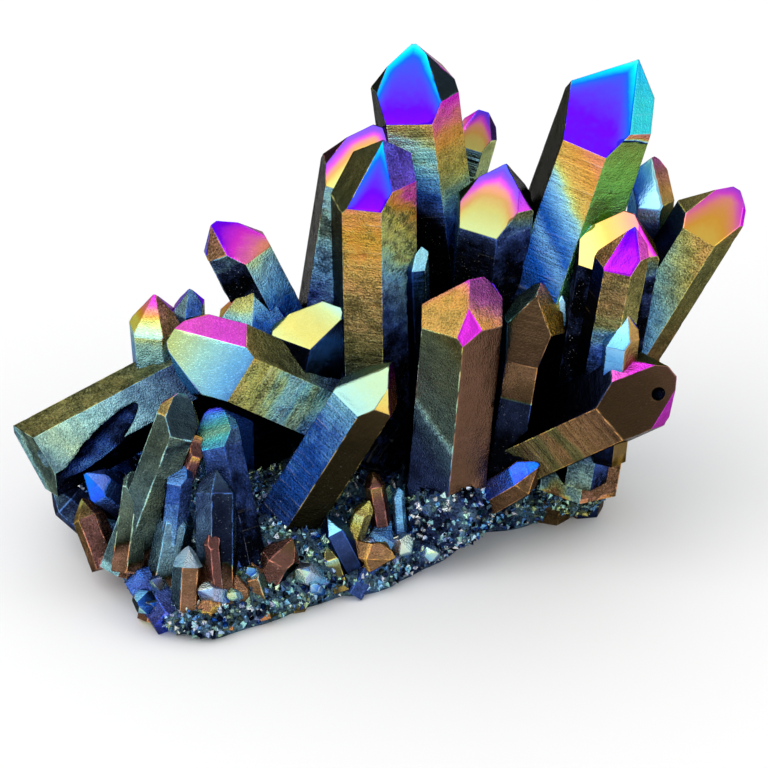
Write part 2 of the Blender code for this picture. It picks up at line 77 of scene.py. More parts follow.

# each crystal: its shape in mm and degrees, and the coat of each face. cap, side and cut are end faces,
# sides and breaks, and caps and sides are counted to the right from the front
# the tones in these coats are painted light: low tones paint shade and dark reflections, tones above 1 paint
# highlights
crystals = {
    "tallMiddle": dict(
        shape=dict(tip=(4.5, 9, 65), root=(12, 9, 4.5), across=10.3, turn=-13,
                   heads=(0, 2.7, 3.7, 4, 3, 3.3), sides=(1, 1.05, 1, 1, 1, 1)),
        cap0=coat((0, 0.08), (2, 0.13), (5, 0.17), (8, 0.21), (11, 0.25), (11.3, 0.36), rim=-0.13,
                  coarse=0.02, bands=0),
        cap1=coat((0, 0.88, 0.04), (6, 0.86, 0.03), coarse=0.1),
        cap5=coat((0, 0.7, 0.03), (6, 0.9, 0.03), bands=0),
        side0=coat((0, 0.6, 0.6), (0.8, 0.66, 0.45), (2, 0.72, 0.4), (2.8, 0.82, 1), (4.6, 0.84, 1),
                   (5, 0.8, 0.2), (5.6, 0.84, 0.9), (8, 0.9, 0.9), (10, 0.94, 0.85), (12, 0.97, 0.5),
                   (14, 1, 0.12), (24, 1, 0.06), coarse=0.5, bands=0.6, slant=-0.5),
        side1=coat((0, 0.42, 1), (2.5, 0.46, 1), (4.5, 0.56, 0.9), (7, 0.61, 0.75), (10, 0.66, 0.5),
                   (12.5, 0.76, 0.5), (14, 0.84, 0.5), (16, 0.93, 0.5), (19, 0.98, 0.5), (23, 1, 0.3),
                   coarse=0.6, bands=0.3),
        side5=coat((0, 0.68, 0.04), (10, 0.7, 0.03)),
    ),
    "tallRight": dict(
        shape=dict(tip=(31, 5, 63.5), root=(19, 3, 22), across=11.1, turn=-24,
                   heads=(0, 3.3, 7, 7.5, 4.1, 7.5), sides=(1.03, 1.04, 1.05, 1, 1, 0.93), taper=1),
        cap0=coat((-4, 0.03), (0, 0.08), (3, 0.14), (7, 0.19), (10, 0.22), rim=-0.13, reach=1.1, coarse=0,
                  bands=0),
        cap1=coat((-3, 0.0), (6, -0.05), coarse=0.15),
        side5=coat((0, 0.68, 0.07), (30, 0.7, 0.05)),
        side0=coat((0, 0.54, 1), (1, 0.57, 0.95), (3, 0.59, 0.85), (5.5, 0.62, 0.8), (6.6, 0.72, 0.8),
                   (7.4, 0.82, 0.95), (8.5, 0.87, 1.08), (10.5, 0.91, 1), (13, 0.94, 1), (15, 0.9, 1.05),
                   (18, 0.94, 1), (22, 0.965, 0.9), (26, 1, 0.5), (35, 1, 0.2), coarse=0.3, bands=0.45,
                   slant=-1.0),
        side1=coat((0, 0.5, 0.5), (1, 0.57, 0.6), (1.6, 1.14, 0.8), (3, 1.15, 0.9), (6, 1.17, 1),
                   (10, 1.18, 1), (16, 1.22, 1), (26, 1.25, 0.9), coarse=0.3, bands=0.15),
    ),
    "tallLeft": dict(
        shape=dict(tip=(-0.5, 1, 57), root=(0, 1, 10.5), across=10.3, turn=-15,
                   heads=(0, 1.6, 5, 1.3, 3, -1.2), sides=(1.07, 0.97, 1, 1.07, 0.94, 1)),
        cap0=coat((0, 0.1), (2.5, 0.17), (6, 0.21), (9, 0.26), (10, 0.38), rim=-0.1, coarse=0.02, bands=0),
        cap1=coat((0, 0.12, 0.5), (2, 0.19, 0.45), (6, 0.25, 0.4), (8, 0.3, 0.5), (9, 0.43, 0.75),
                  coarse=0.7),
        cap5=coat((0, 0.7, 0.12), (6, 0.68, 0.12), (10, 0.7, 0.1), coarse=0.3),
        side0=coat((0, 0.53, 1), (0.7, 0.57, 1.05), (4, 0.59, 1), (8, 0.6, 0.7), (12, 0.6, 0.4),
                   (18, 0.62, 0.25), (22, 0.66, 0.15), (26, 0.8, 0.15), (29, 0.9, 0.35), (33, 0.96, 0.5),
                   (38, 1, 0.5), (44, 1, 0.2), coarse=0.8, bands=0.6),
        side1=coat((0, 0.44, 0.9), (1.2, 0.55, 1), (3, 0.59, 0.9), (4.6, 0.64, 0.3), (5.6, 0.66, 1),
                   (7, 0.68, 0.15), (8, 0.7, 0.9), (9.5, 0.7, 0.15), (10.8, 0.78, 1.05), (12, 0.82, 0.15),
                   (13.5, 0.86, 0.8), (15, 0.9, 0.3), (20, 0.93, 0.5), (26, 1, 0.3), coarse=1, bands=0.5,
                   slant=-0.9),
        side5=coat((0, 0.7, 0.07), (10, 0.8, 0.05), (18, 0.93, 0.1), (30, 0.97, 0.2), coarse=0.4),
    ),
    "tallLeftBehind": dict(
        shape=dict(tip=(-1, 7, 56.5), root=(-6.5, 7, 15), across=10.4, turn=-22,
                   heads=(-0.6, 3, 3, 1.3, 0.5, 1.6), taper=1),
        cap0=coat((0, 0.6, 0.62), (4, 0.66, 0.6), (12, 0.74, 0.65), rim=-0.36, reach=1.6, coarse=0.02,
                  bands=0),
        cap5=coat((0, 0.46, 0.05), (8, 0.5, 0.05), coarse=0.3),
        cap1=coat((0, 0.6), (6, 0.7)),
        side5=coat((0, 0.68, 0.04), (30, 0.7, 0.02), coarse=0.3),
        side0=coat((0, 0.84, 1.1), (2, 0.84, 0.3), (3, 0.84, 0.9), (4, 0.8, 0.12), (6, 0.8, 0.15),
                   (8, 0.84, 0.7), (9, 0.86, 0.2), (12, 0.88, 0.6), (17, 0.94, 0.5), (22, 0.97, 0.6),
                   (28, 1, 0.5), (36, 1, 0.2), coarse=1, bands=0.8),
    ),
    "behindMiddle": dict(
        shape=dict(tip=(14, 17, 52.5), root=(10.5, 15, 39.5), across=5, turn=-10,
                   heads=(0, 1.6, 3, 3, 3, 1.6), buried=34),
        cap0=coat((0, 0.34, 0.8), (1, 0.42, 0.8), (2.5, 0.54, 0.7), (4, 0.62, 0.65), (6, 0.66, 0.6),
                  rim=-0.16, reach=0.7, coarse=0.02, bands=0),
        cap1=coat((0, 0.36, 0.1), (3, 0.3, 0.1)),
        side0=coat((0, 0.88, 0.4), (2, 0.82, 0.4), (5, 0.78, 0.4), (9, 0.76, 0.3), (14, 0.95, 0.2),
                   bands=0.9),
        side1=coat((0, 0.7, 0.5), (4, 0.74, 0.5), (9, 0.8, 0.4), (14, 0.95, 0.2), coarse=0.3),
    ),
    "paleMiddle": dict(
        shape=dict(tip=(16, 2, 51.5), root=(13.5, 2, 18), across=9.6, turn=-28,
                   heads=(0, 3.3, 3, 4, 2.4, 2.7)),
        cap0=coat((0, 0.3, 0.75), (2, 0.4, 0.72), (3.5, 0.5, 0.6), (5, 0.6, 0.48), (7, 0.67, 0.47),
                  (11, 0.75, 0.55), rim=-0.2, reach=1.2, coarse=0.02, bands=0),
        cap1=coat((0, 0.3, 0.8), (3, 0.4, 0.8), (7, 0.42, 0.8), coarse=0.05, bands=0),
        cap2=coat((0, 1.0, 0.1)),
        cap5=coat((0, 0.7, 0.06), (8, 0.95, 0.06)),
        side0=coat((0, 0.95, 0.3), (1.2, 0.99, 0.2), (8, 1, 0.12), (16, 1, 0.15), coarse=0.5, bands=0.5),
        side1=coat((0, 0.7, 0.25), (1.5, 0.84, 0.2), (3, 0.95, 0.3), (5, 0.98, 0.35), (10, 1, 0.25),
                   (18, 1, 0.1), coarse=0.8, bands=0.5),
    ),
    "rightInner": dict(
        shape=dict(tip=(32.3, -2, 48.5), root=(29.2, -3, 24), across=10.5, turn=-28,
                   heads=(0, 2.5, 2, 0.6, 0.4, 2.6), buried=16),
        cap0=coat((-4, 0.45, 0.95), (0, 0.52, 1), (2, 0.555, 1.05), (5, 0.585, 1.05), (9, 0.64, 1.1),
                  slant=-1.2, coarse=0.02, bands=0),
        cap1=coat((0, 0.5), (3, 0.47), (8, 0.5), rim=-0.08, reach=0.6, coarse=0.02, bands=0),
        cap5=coat((0, 0.84, 0.9), (6, 0.9, 0.7), bands=0),
        side5=coat((0, 0.99, 0.3), (12, 1, 0.15), (26, 1, 0.1), (28, 0.9, 0.5), (31, 0.93, 0.6),
                   (36, 0.99, 0.4), coarse=1),
        side0=coat((0, 0.99, 0.2), (12, 1, 0.1), (26, 1, 0.1), (26.5, 0.57, 0.1), (29, 0.57, 0.3),
                   (31, 0.84, 0.4), (34, 0.84, 0.2), (34.5, 0.56, 0.2), (40, 0.56, 0.15), coarse=1),
        side1=coat((0, 0.6, 0.15), (3, 0.98, 0.2), (12, 1, 0.15), (26, 1, 0.1), (26.5, 0.57, 0.1),
                   (30, 0.57, 0.25), (34, 0.56, 0.15), coarse=1),
        side2=coat((0, 0.66, 0.3), (12, 0.7, 0.2)),
    ),
    "rightFront": dict(
        shape=dict(tip=(32.2, -8, 48), root=(28.7, -8, 20.5), across=6.1, turn=-12,
                   heads=(0, 1.8, 3, 3, 1, 0.3), buried=9),
        cap5=coat((0, 0.56, 0.45), (6, 0.57, 0.3), coarse=0.9),
        cap0=coat((0, 0.16), (1, 0.25), (3, 0.33), (6, 0.36), coarse=0.05, bands=0),
        cap1=coat((0, 0.36, 0.7), (2, 0.42, 0.8), (6, 0.44, 0.7), coarse=0.3, bands=0),
        side0=coat((0, 0.6, 0.15), (1.5, 0.62, 0.35), (3, 0.62, 0.15), (5, 0.6, 0.25), (7, 0.66, 0.15),
                   (8.5, 0.84, 0.4), (10, 0.93, 0.6), (13, 0.96, 0.6), (16, 1, 0.2), (19, 0.84, 0.1),
                   (24, 1, 0.2), (27, 1, 0.05), (27.5, 0.84, 0.3), (30, 0.82, 0.4), (32, 0.84, 0.1),
                   (36, 0.57, 0.2), coarse=0.9, bands=0.5),
        side1=coat((0, 0.62, 0.25), (4, 0.66, 0.15), (8, 0.66, 0.25), (13, 0.8, 0.2), (18, 0.93, 0.4),
                   (24, 1, 0.2), (27, 1, 0.05), (29, 0.93, 0.5), (32, 0.96, 0.4), (36, 1, 0.3), coarse=0.8),
        side5=navy,
    ),
    "farRight": dict(
        shape=dict(tip=(46, 4, 48), root=(31.5, 2, 20.5), across=8.4, turn=-17,
                   heads=(0, 3.4, 4, 3, 1.7, 1.5), sides=(1, 1, 0.8, 1, 1, 1)),
        cap0=coat((0, 0.47, 1.05), (2, 0.53, 1.05), (4, 0.57, 1.0), (8, 0.61, 1.0), rim=-0.12, reach=1.4,
                  coarse=0.02, bands=0),
        cap1=coat((0, 0.36), (6, 0.43), coarse=0.1, bands=0),
        cap5=coat((0, 0.62, 0.2), (6, 0.66, 0.14), coarse=0.3),
        side0=coat((0, 0.6, 0.6), (2, 0.64, 0.5), (4, 0.7, 0.4), (7, 0.78, 0.5), (10, 0.84, 0.7),
                   (13, 0.89, 0.8), (17, 0.93, 0.7), (22, 0.98, 0.4), (32, 1, 0.2), coarse=0.7, bands=0.3,
                   slant=-1.4),
        side1=coat((0, 0.62, 0.2), (6, 0.68, 0.16), (14, 0.66, 0.16), (22, 0.6, 0.13), (32, 0.58, 0.12),
                   coarse=0.5),
        side5=coat((0, 0.84, 0.1), (4, 0.95, 0.15), (10, 1, 0.2)),
    ),
    "rightBehind": dict(
        shape=dict(tip=(37, 8.5, 48.5), root=(36, 7.5, 25.5), across=5.5, turn=-10,
                   heads=(0, 0.5, 3.8, 5, 3.8, 3.8), buried=10),
        cap0=coat((-5, 0.7, 1.1), (-1, 0.78, 1.12), (1.5, 0.85, 1.1), (4, 0.87, 1.1), (8, 0.88, 1.1),
                  slant=-1.6, coarse=0.02, bands=0),
        cap1=coat((0, 0.44, 0.3), (2, 0.5, 0.3), (4.5, 0.58, 0.5), (8, 0.64, 0.4), coarse=0.4),
        side0=coat((0, 0.88, 0.9), (1.5, 0.9, 0.5), (3, 0.98, 0.4), (10, 1, 0.2)),
        side1=coat((0, 0.6, 0.2), (2, 0.66, 0.12), (10, 1, 0.2)),
    ),
    "rightStub": dict(
        shape=dict(tip=(32, -11, 37), root=(31.5, -11, 28.5), across=4.4, turn=-20,
                   heads=(0, 1, 2, 2, 2, 0)),
        cap5=coat((0, 0.86, 1.1), (4, 0.88, 1.05)),
        cap0=coat((0, 0.86, 1.1), (2, 0.87, 1.05), (5, 0.9), coarse=0.1, bands=0),
        cap1=coat((0, 0.62, 0.6), (4, 0.58, 0.4)),
        side0=coat((0, 0.88, 1.1), (3, 0.9, 0.9), (6, 1, 0.5)),
        side5=coat((0, 0.88, 1.05), (3, 0.9, 0.9), (6, 1, 0.5)),
        side1=coat((0, 0.6, 0.4), (5, 0.6, 0.2)),
    ),
    "bluePin": dict(
        shape=dict(tip=(24.5, -3, 37), root=(25, -3, 31.5), across=1.5, turn=0, heads=(0, 0, 0, 0, 0, 0)),
        every=coat((0, 0.86, 1.2), (3, 0.88, 1.05), (6, 0.95)),
    ),
    "frontMiddle": dict(
        shape=dict(tip=(11.5, -6, 41.7), root=(9, -8, 8.2), across=10.6, turn=-27,
                   heads=(0, 0.8, 3.6, 1.5, -1.8, 2.5), cuts=((12, 30, 1.35),), buried=3),
        cap0=coat((0, 0.46, 0.8), (0.8, 0.55, 0.8), (3, 0.59, 0.75), (8, 0.6, 0.65), rim=-0.05, reach=0.4,
                  coarse=0.5, bands=0),
        cap5=coat((0, 0.62, 0.5), (5, 0.6, 0.4)),
        cap4=coat((0, 0.66, 0.8), (5, 0.66, 0.7)),
        cap1=coat((0, 0.42, 0.3), (3, 0.43, 0.35), (4.5, 0.48, 0.55), (6, 0.55, 0.85), (8, 0.58, 0.85),
                  coarse=0.4, slant=-0.5),
        cut0=coat((0, 0.4), (5, 0.41), coarse=0.05, bands=0),
        side0=coat((0, 0.66, 0.1), (2, 0.75, 0.09), (8, 0.78, 0.09), (10, 0.8, 0.1), (13.2, 0.8, 0.12),
                   (13.8, 0.82, 0.6), (14.4, 0.86, 0.12), (18, 0.93, 0.12), (24, 0.96, 0.2),
                   (32, 0.94, 0.22), coarse=0.35, slant=-1),
        side1=coat((0, 0.545, 0.17), (12, 0.545, 0.155), (20, 0.55, 0.14), (23, 0.55, 0.15),
                   (23.4, 0.55, 0.26), (30, 0.55, 0.22), coarse=0.12, slant=0.7),
        side5=coat((0, 0.95, 0.1), (10, 1, 0.2)),
    ),
    "frontBrown": dict(
        shape=dict(tip=(21.2, -4.2, 36), root=(18.5, -6.6, 16), across=7.5, turn=-17,
                   heads=(None, 1.8, 5, 4.5, 8, 2.1), cuts=((-18, 18.7, 1.2),), buried=5),
        cut0=coat((0, 0.575, 0.09), (6, 0.57, 0.07), (10, 0.56, 0.05), coarse=0.12),
        cap5=coat((0, 0.76, 0.3), (2.5, 0.8, 0.3), (6, 0.82, 0.35), coarse=0.3),
        cap1=coat((0, 0.46, 1.1), (0.5, 0.52, 1.15), (2, 0.57, 1.1), (5, 0.6, 1), coarse=0.3),
        cap2=coat((0, 0.8, 0.06)),
        side0=coat((0, 0.57, 0.16), (3, 0.57, 0.14), (5, 0.57, 0.06), (5.2, 0.95, 0.05), (8, 0.97, 0.12),
                   (12, 1, 0.1), coarse=0.3),
        side1=nearBlack,
        side5=coat((0, 0.84, 0.15), (5, 0.86, 0.2), (8, 0.93, 0.3), (12, 1, 0.3)),
    ),
    "leaningRight": dict(
        shape=dict(tip=(37.5, -14, 30), root=(19.5, -5, 14.5), across=10.2, turn=-6,
                   heads=(-1, 2, 3, 3, 3, 2)),
        cap0=coat((0, 0.555, 0.1), (4, 0.57, 0.06), (9, 0.58, 0.05), rim=-0.04, reach=0.4, coarse=0.1,
                  bands=0),
        cap5=coat((0, 0.4), (3, 0.42, 0.9), (6, 0.45, 0.8), coarse=0.1),
        cap4=coat((0, 0.62, 0.3), (5, 0.6, 0.25)),
        cap1=coat((0, 0.4, 0.8), (6, 0.42, 0.6)),
        side0=coat((0, 0.565, 0.14), (2.5, 0.565, 0.24), (6.5, 0.58, 0.26), (7.2, 0.66, 0.12),
                   (8.2, 0.66, 0.13), (8.8, 0.575, 0.25), (10.5, 0.6, 0.24), (11, 0.68, 0.12),
                   (12, 0.62, 0.2), (14, 0.6, 0.16), (16, 0.7, 0.07), (20, 0.75, 0.04), coarse=0.35,
                   bands=0.5),
        side5=coat((0, 0.92, 0.08), (3, 0.98, 0.1), (10, 1, 0.05)),
        side1=coat((0, 0.5, 0.1), (10, 0.6, 0.06)),
    ),
    "leaningFront": dict(
        shape=dict(tip=(1.5, -10, 30.5), root=(-14, -12, 3.5), across=8.2, turn=15,
                   heads=(0.8, 0, 3, 2, -1, -1.5), sides=(1.1, 1, 1, 1, 1, 1), buried=6),
        cap5=coat((0, 0.765, 0.58), (4, 0.775, 0.56), (7, 0.81, 0.58), (9, 0.84, 0.62), coarse=0.02,
                  bands=0),
        cap4=coat((0, 0.78), (6, 0.8)),
        cap0=coat((0, 0.66, 0.7), (2, 0.64, 0.75), (5, 0.58, 0.8), (7, 0.5, 0.75), coarse=0.05, bands=0),
        side0=coat((0, 0.6, 0.05), (6, 0.62, 0.022), (20, 0.64, 0.016), coarse=0.2),
        side5=coat((0, 0.86, 0.8), (2, 0.89, 0.8), (4, 0.92, 0.8), (9, 0.94, 0.9), (15, 0.955, 0.9),
                   (22, 0.98, 0.6), (30, 1, 0.3), coarse=0.6, bands=0.7),
        side1=coat((0, 0.66, 0.06), (10, 0.66, 0.03)),
    ),
    "middleStub": dict(
        shape=dict(tip=(5.2, -1, 42), root=(5.7, -1, 29), across=3, turn=-50, heads=(0, 0, 2, 2, 2, 0),
                   buried=16),
        cap0=coat((0, 0.86, 0.5), (2, 0.93, 0.5), (4, 0.97, 0.5), bands=0),
        cap1=coat((0, 0.84, 0.9), (4, 0.86, 0.9), bands=0),
        cap2=coat((0, 0.84, 0.5), (3, 0.99, 0.5)),
        side0=coat((0, 0.95, 0.4), (2, 0.98, 0.4), (8, 1, 0.2)),
        side1=navy,
    ),
    "leftPink": dict(
        shape=dict(tip=(-20.4, 6.5, 42.4), root=(-11.6, 3.5, 24.5), across=8.3, turn=-15,
                   heads=(2.4, 0.3, 1.6, 0.8, 1.7, 3.1)),
        cap0=coat((0, 0.5, 0.3), (2, 0.55, 0.24), (5, 0.57, 0.2), (8, 0.58, 0.3), coarse=0.9),
        cap1=coat((0, 0.3), (2, 0.36), (4, 0.42), (6, 0.46, 0.95), (8, 0.52, 0.9), rim=-0.05, reach=0.6,
                  coarse=0.1, bands=0, slant=0.4),
        side0=coat((0, 0.84, 0.1), (1.5, 0.95, 0.12), (4, 1, 0.12), (10, 1, 0.15), coarse=1),
        side1=coat((0, 0.74, 1.0), (1.2, 0.82, 1.1), (3, 0.87, 1.1), (5, 0.9, 1.0), (7, 0.93, 1.0),
                   (10, 0.96, 0.9), (14, 1, 0.5), coarse=0.7, bands=0.3),
        side5=coat((0, 0.56, 0.1), (8, 1, 0.15), coarse=0.6),
    ),
    "leftBlue": dict(
        shape=dict(tip=(-16.5, 1, 35), root=(-16.5, 1, 21.5), across=9.5, turn=-32,
                   heads=(0, 0, 2, 0, 2, 2)),
        cap0=coat((0, 0.64, 0.5), (1.5, 0.68, 0.6), (3, 0.78, 0.8), (4.5, 0.85, 0.95), (6, 0.7, 0.8),
                  (8, 0.6, 0.7), coarse=0.5),
        cap1=coat((0, 0.8, 0.4), (1.5, 0.87, 0.7), (3, 0.91, 0.9), (5, 0.94, 0.9), (7, 0.97, 0.7),
                  coarse=0.5),
        side0=coat((0, 0.6), (1, 0.85), (5, 0.95, 0.8)),
        side1=navy,
    ),
    "leftYellow": dict(
        shape=dict(tip=(-7.9, 0.7, 34.9), root=(-10, -1.2, 25.3), across=10.3, turn=-29,
                   heads=(0.7, 5, 4.6, -1.2, -2.3, 1.2), buried=1),
        cap0=coat((-2, 0.84, 0.7), (-0.5, 0.8, 0.62), (1, 0.72, 0.55), (3, 0.67, 0.55), (5.5, 0.66, 0.6),
                  (7.5, 0.7, 0.6), (9, 0.76, 0.7), slant=-0.3, coarse=0.05, bands=0),
        cap3=coat((0, 0.66, 0.2), (6, 0.7, 0.16)),
        cap1=coat((0, 0.86, 0.7), (4, 0.94)),
        cap5=coat((0, 0.7, 0.9), (6, 0.76, 0.9)),
        side0=nearBlack,
        side5=coat((0, 0.76, 0.8), (1.2, 0.99, 0.3), (8, 1, 0.2)),
        side1=coat((0, 1, 0.3), (3, 0.97, 0.8), (8, 1, 0.5)),
    ),
    "lyingLeft": dict(
        shape=dict(tip=(-24, -8, 31.5), root=(-7.5, -3, 20), across=10.5, turn=12,
                   heads=(-0.3, 2, 6, 6, 6, 3.5), sides=(0.85, 1, 1, 0.85, 1, 1), buried=10),
        cap0=coat((0, 0.73, 0.85), (3, 0.77, 0.9), (5.5, 0.82, 1), (8, 0.86, 1.02), (10, 0.885, 0.95),
                  (12, 0.92, 0.8), coarse=0.12, bands=0),
        cap1=coat((0, 0.44, 0.9), (6, 0.42, 0.75), coarse=0.15, bands=0),
        side1=coat((0, 0.62, 0.3), (3, 0.66, 0.2), (7, 0.7, 0.14), (10, 0.78, 0.2), (13, 0.9, 0.35),
                   (17, 0.97, 0.5), coarse=0.5),
        side0=coat((0, 0.62, 0.7), (1.2, 0.66, 0.35), (3, 0.68, 0.75), (4.5, 0.7, 0.3), (6.5, 0.82, 1.1),
                   (8.5, 0.84, 1.05), (10, 0.76, 0.35), (12, 0.84, 0.6), (14, 0.93, 0.5), (18, 1, 0.4),
                   coarse=1, bands=1),
        side5=nearBlack,
        cap5=coat((0, 0.88), (8, 0.92)),
    ),
    "pinkTipLeft": dict(
        shape=dict(tip=(-30, 3, 33), root=(-29.5, 3, 20.5), across=6.8, turn=-16,
                   heads=(0, 0.3, 1, 1, 1, 0.4), buried=14),
        cap0=coat((0, 0.4, 0.9), (1.6, 0.44, 0.85), (2.8, 0.54, 0.8), (3.8, 0.68, 0.8), (4.8, 0.77, 0.85),
                  (8, 0.84, 0.85), coarse=0.2),
        cap5=coat((0, 0.46), (2, 0.5), (4, 0.66)),
        cap1=coat((0, 0.5, 0.3), (4, 0.57, 0.22), coarse=0.9),
        side0=coat((0, 0.74, 1.02), (1.5, 0.8, 0.9), (4, 0.85, 0.7), (7, 0.9, 0.4), (10, 0.95, 0.2),
                   coarse=0.4),
        side1=coat((0, 0.6, 0.3), (2, 0.84, 0.5), (5, 0.92, 0.5), coarse=0.6),
    ),
    "blueTipLeft": dict(
        shape=dict(tip=(-25.5, 4, 33.5), root=(-25.5, 4, 21.5), across=4.2, turn=-35,
                   heads=(0, 0, 1, 1, 1, 0), buried=14),
        cap0=coat((0, 0.8, 0.15), (4, 0.86, 0.3), coarse=0.3),
        cap1=coat((0, 0.9, 0.5), (3, 0.94, 0.7), coarse=0.3),
        side0=coat((0, 0.92, 0.6), (3, 0.97, 0.6)),
        side1=navy,
    ),
    "brokenLeft": dict(
        shape=dict(tip=(-47, -8, 13.5), root=(-20.5, 4, 23), across=9.8, turn=28,
                   heads=(None, None, None, None, None, None), cuts=((10, 78, -1.1), (200, 50, 1)),
                   buried=8),
        side1=coat((0, 0.66, 0.12), (8, 0.67, 0.2), (16, 0.68, 0.14), (24, 0.78, 0.2), (30, 0.93, 0.3),
                   coarse=1, bands=0.6),
        side0=coat((0, 0.84, 0.3), (2, 0.8, 0.5), (4, 0.78, 0.6), (8, 0.82, 0.6), (13, 0.85, 0.5),
                   (18, 0.88, 0.35), (22, 0.93, 0.3), (26, 0.98, 0.4), coarse=0.45, slant=0.5),
        cut0=coat((0, 0.84, 0.3), (1, 0.83, 0.7), (2.5, 0.8, 0.25), (4, 0.8, 0.1), coarse=0.9, bands=0),
        side5=coat((0, 0.99, 0.2), (20, 1, 0.1), coarse=0.6),
        side4=nearBlack,
    ),
    "splinterA": dict(
        shape=dict(tip=(-25.5, -13, 25.5), root=(-32.5, -19, 8), across=5.6, turn=20,
                   heads=(0, 2, 3, 3, 3, 2), buried=4),
        cap0=coat((0, 0.84, 0.3), (0.7, 0.86, 0.08), (5, 0.86, 0.06), coarse=0.25),
        cap5=coat((0, 0.6, 0.5), (3, 0.62, 0.3), coarse=0.6),
        cap1=coat((0, 0.68, 1.15), (4, 0.62, 0.9)),
        side0=coat((0, 0.8, 0.12), (1, 0.86, 0.03), (3, 0.8, 0.12), (9, 0.78, 0.1), (14, 0.8, 0.12),
                   (16.5, 0.8, 0.01), (16.7, 0.55, 0.01), (19, 0.55, 0.14), coarse=0.5, bands=0.5,
                   slant=0.8),
        side5=coat((0, 0.8, 0.08), (4, 0.78, 0.08), (12, 0.84, 0.12), coarse=0.5),
        side1=coat((0, 0.6, 0.4), (1, 0.555, 0.09), (12, 0.55, 0.08), coarse=0.5),
    ),
    "splinterB": dict(
        shape=dict(tip=(-21.5, -12, 23), root=(-18, -19, 8), across=5.5, turn=-10, heads=(0, 2, 3, 3, 3, 2),
                   buried=6),
        cap0=coat((0, 0.24, 0.7), (0.7, 0.14, 0.8), (1.3, 0.06, 0.7), (2, -0.02, 0.5), (3, -0.07, 0.4),
                  (4, -0.1, 0.45), (6, -0.02, 0.5), coarse=0.3),
        cap1=coat((0, 0.06, 0.5), (1.5, 0, 0.3), (4, 0.05, 0.4), coarse=0.5),
        side0=coat((0, 0.93, 0.6), (3, 0.97, 0.5), (14, 1, 0.3), coarse=0.5),
        side1=coat((0, 0.91, 0.35), (3, 0.95, 0.5), (8, 0.98, 0.5), (16, 1, 0.4), coarse=0.6, bands=0.6),
        cap5=coat((0, 0.14, 0.3), (4, 0.1, 0.2), coarse=0.5),
    ),
    "splinterC": dict(
        shape=dict(tip=(-31.5, -16, 15.5), root=(-33, -22, 6), across=4, turn=30, heads=(0, 2, 3, 3, 3, 2),
                   buried=0.5),
        every=coat((0, 0.8, 0.16), (6, 0.78, 0.09), (7.5, 0.78, 0.01), (7.7, 0.55, 0.01), (9, 0.55, 0.16),
                   coarse=0.4, slant=0.6),
    ),
    "splinterD": dict(
        shape=dict(tip=(-26, -18, 14), root=(-28.5, -24, 2.5), across=4.5, turn=0, heads=(0, 0, 1, 1, 1, 0),
                   buried=3),
        cap0=coat((0, 0.86, 0.5), (3, 0.88, 0.3)),
        every=coat((0, 0.88, 0.3), (5, 0.85, 0.3), (7, 0.85, 0.01), (7.2, 0.55, 0.01), (9, 0.55, 0.2),
                   (14, 0.55, 0.14), coarse=0.4, slant=0.5),
    ),
    "splinterE": dict(
        shape=dict(tip=(-21, -17, 18.5), root=(-21, -25, 4.5), across=5, turn=20, heads=(0, 0, 1, 1, 1, 0),
                   buried=5),
        cap0=coat((0, 0.88, 0.2), (2, 0.92, 0.2), (4, 0.94, 0.12)),
        side0=coat((0, 0.93, 0.06), (8, 0.95, 0.03), (8.5, 0.95, 0.005), (8.7, 0.55, 0.005),
                   (11, 0.55, 0.1), (15, 0.56, 0.16), coarse=0.4, slant=-0.6),
        every=coat((0, 0.93, 0.3), (6, 0.9, 0.2), (9, 0.9, 0.005), (9.2, 0.55, 0.005), (11, 0.55, 0.12),
                   (15, 0.55, 0.16), coarse=0.4, slant=0.6),
    ),
    "splinterF": dict(
        shape=dict(tip=(-23.5, -15, 21), root=(-29, -20, 8), across=2.4, turn=15, heads=(0, 1, 2, 2, 2, 1),
                   buried=4),
        every=coat((0, 0.62, 0.9), (1, 0.5, 0.12), (14, 0.5, 0.07), coarse=0.3),
    ),
    "whiteTooth": dict(
        shape=dict(tip=(-24.5, -24, 10.5), root=(-25, -27.5, 3), across=3.6, turn=10,
                   heads=(0, 0, 1, 1, 1, 0), buried=1.5),
        cap0=coat((0, 0.86, 1.7), (2.5, 0.86, 1.4), coarse=0.9),
        cap5=coat((0, 0.86, 1.5), (2.5, 0.86, 1.2), coarse=0.9),
        side1=coat((0, 0.555, 0.24), (8, 0.555, 0.2), coarse=0.3),
        cap1=coat((0, 0.86, 1.6), (2.5, 0.86, 1.3), coarse=0.9),
        side0=coat((0, 0.555, 0.22), (8, 0.555, 0.2), coarse=0.3),
        every=coat((0, 0.86, 0.12), (8, 0.86, 0.1), coarse=0.4),
    ),
    "greyTooth": dict(
        shape=dict(tip=(-39.5, -12, 10.5), root=(-36.5, -16.5, 4.5), across=4, turn=10,
                   heads=(0, 0, 1, 1, 1, 0), buried=1.5),
        cap0=coat((0, 0.7, 0.6), (2, 0.6, 0.2), coarse=0.8),
        side0=coat((0, 0.52, 0.14), (8, 0.5, 0.1), coarse=0.6),
        side5=coat((0, 0.6, 0.2), (8, 0.54, 0.12), coarse=0.6),
        cap5=coat((0, 0.7, 1.0), (2, 0.6, 0.3), coarse=0.8),
        every=coat((0, 0.55, 0.2), (8, 0.5, 0.1), coarse=0.5),
    ),
    "blueTooth": dict(
        shape=dict(tip=(-32.5, -20, 5.5), root=(-28.5, -26, 3), across=4.5, turn=10,
                   heads=(0, 0, 1, 1, 1, 0), buried=3),
        every=coat((0, 0.07, 0.6), (3, 0.08, 0.4), (8, 0.1, 0.15), coarse=0.5),
    ),
    "blueChip": dict(
        shape=dict(tip=(-38.6, -13, 14.6), root=(-33, -12, 9.5), across=4.2, turn=-20,
                   heads=(0, 0.5, 1, 1, 1, 0.5), buried=6),
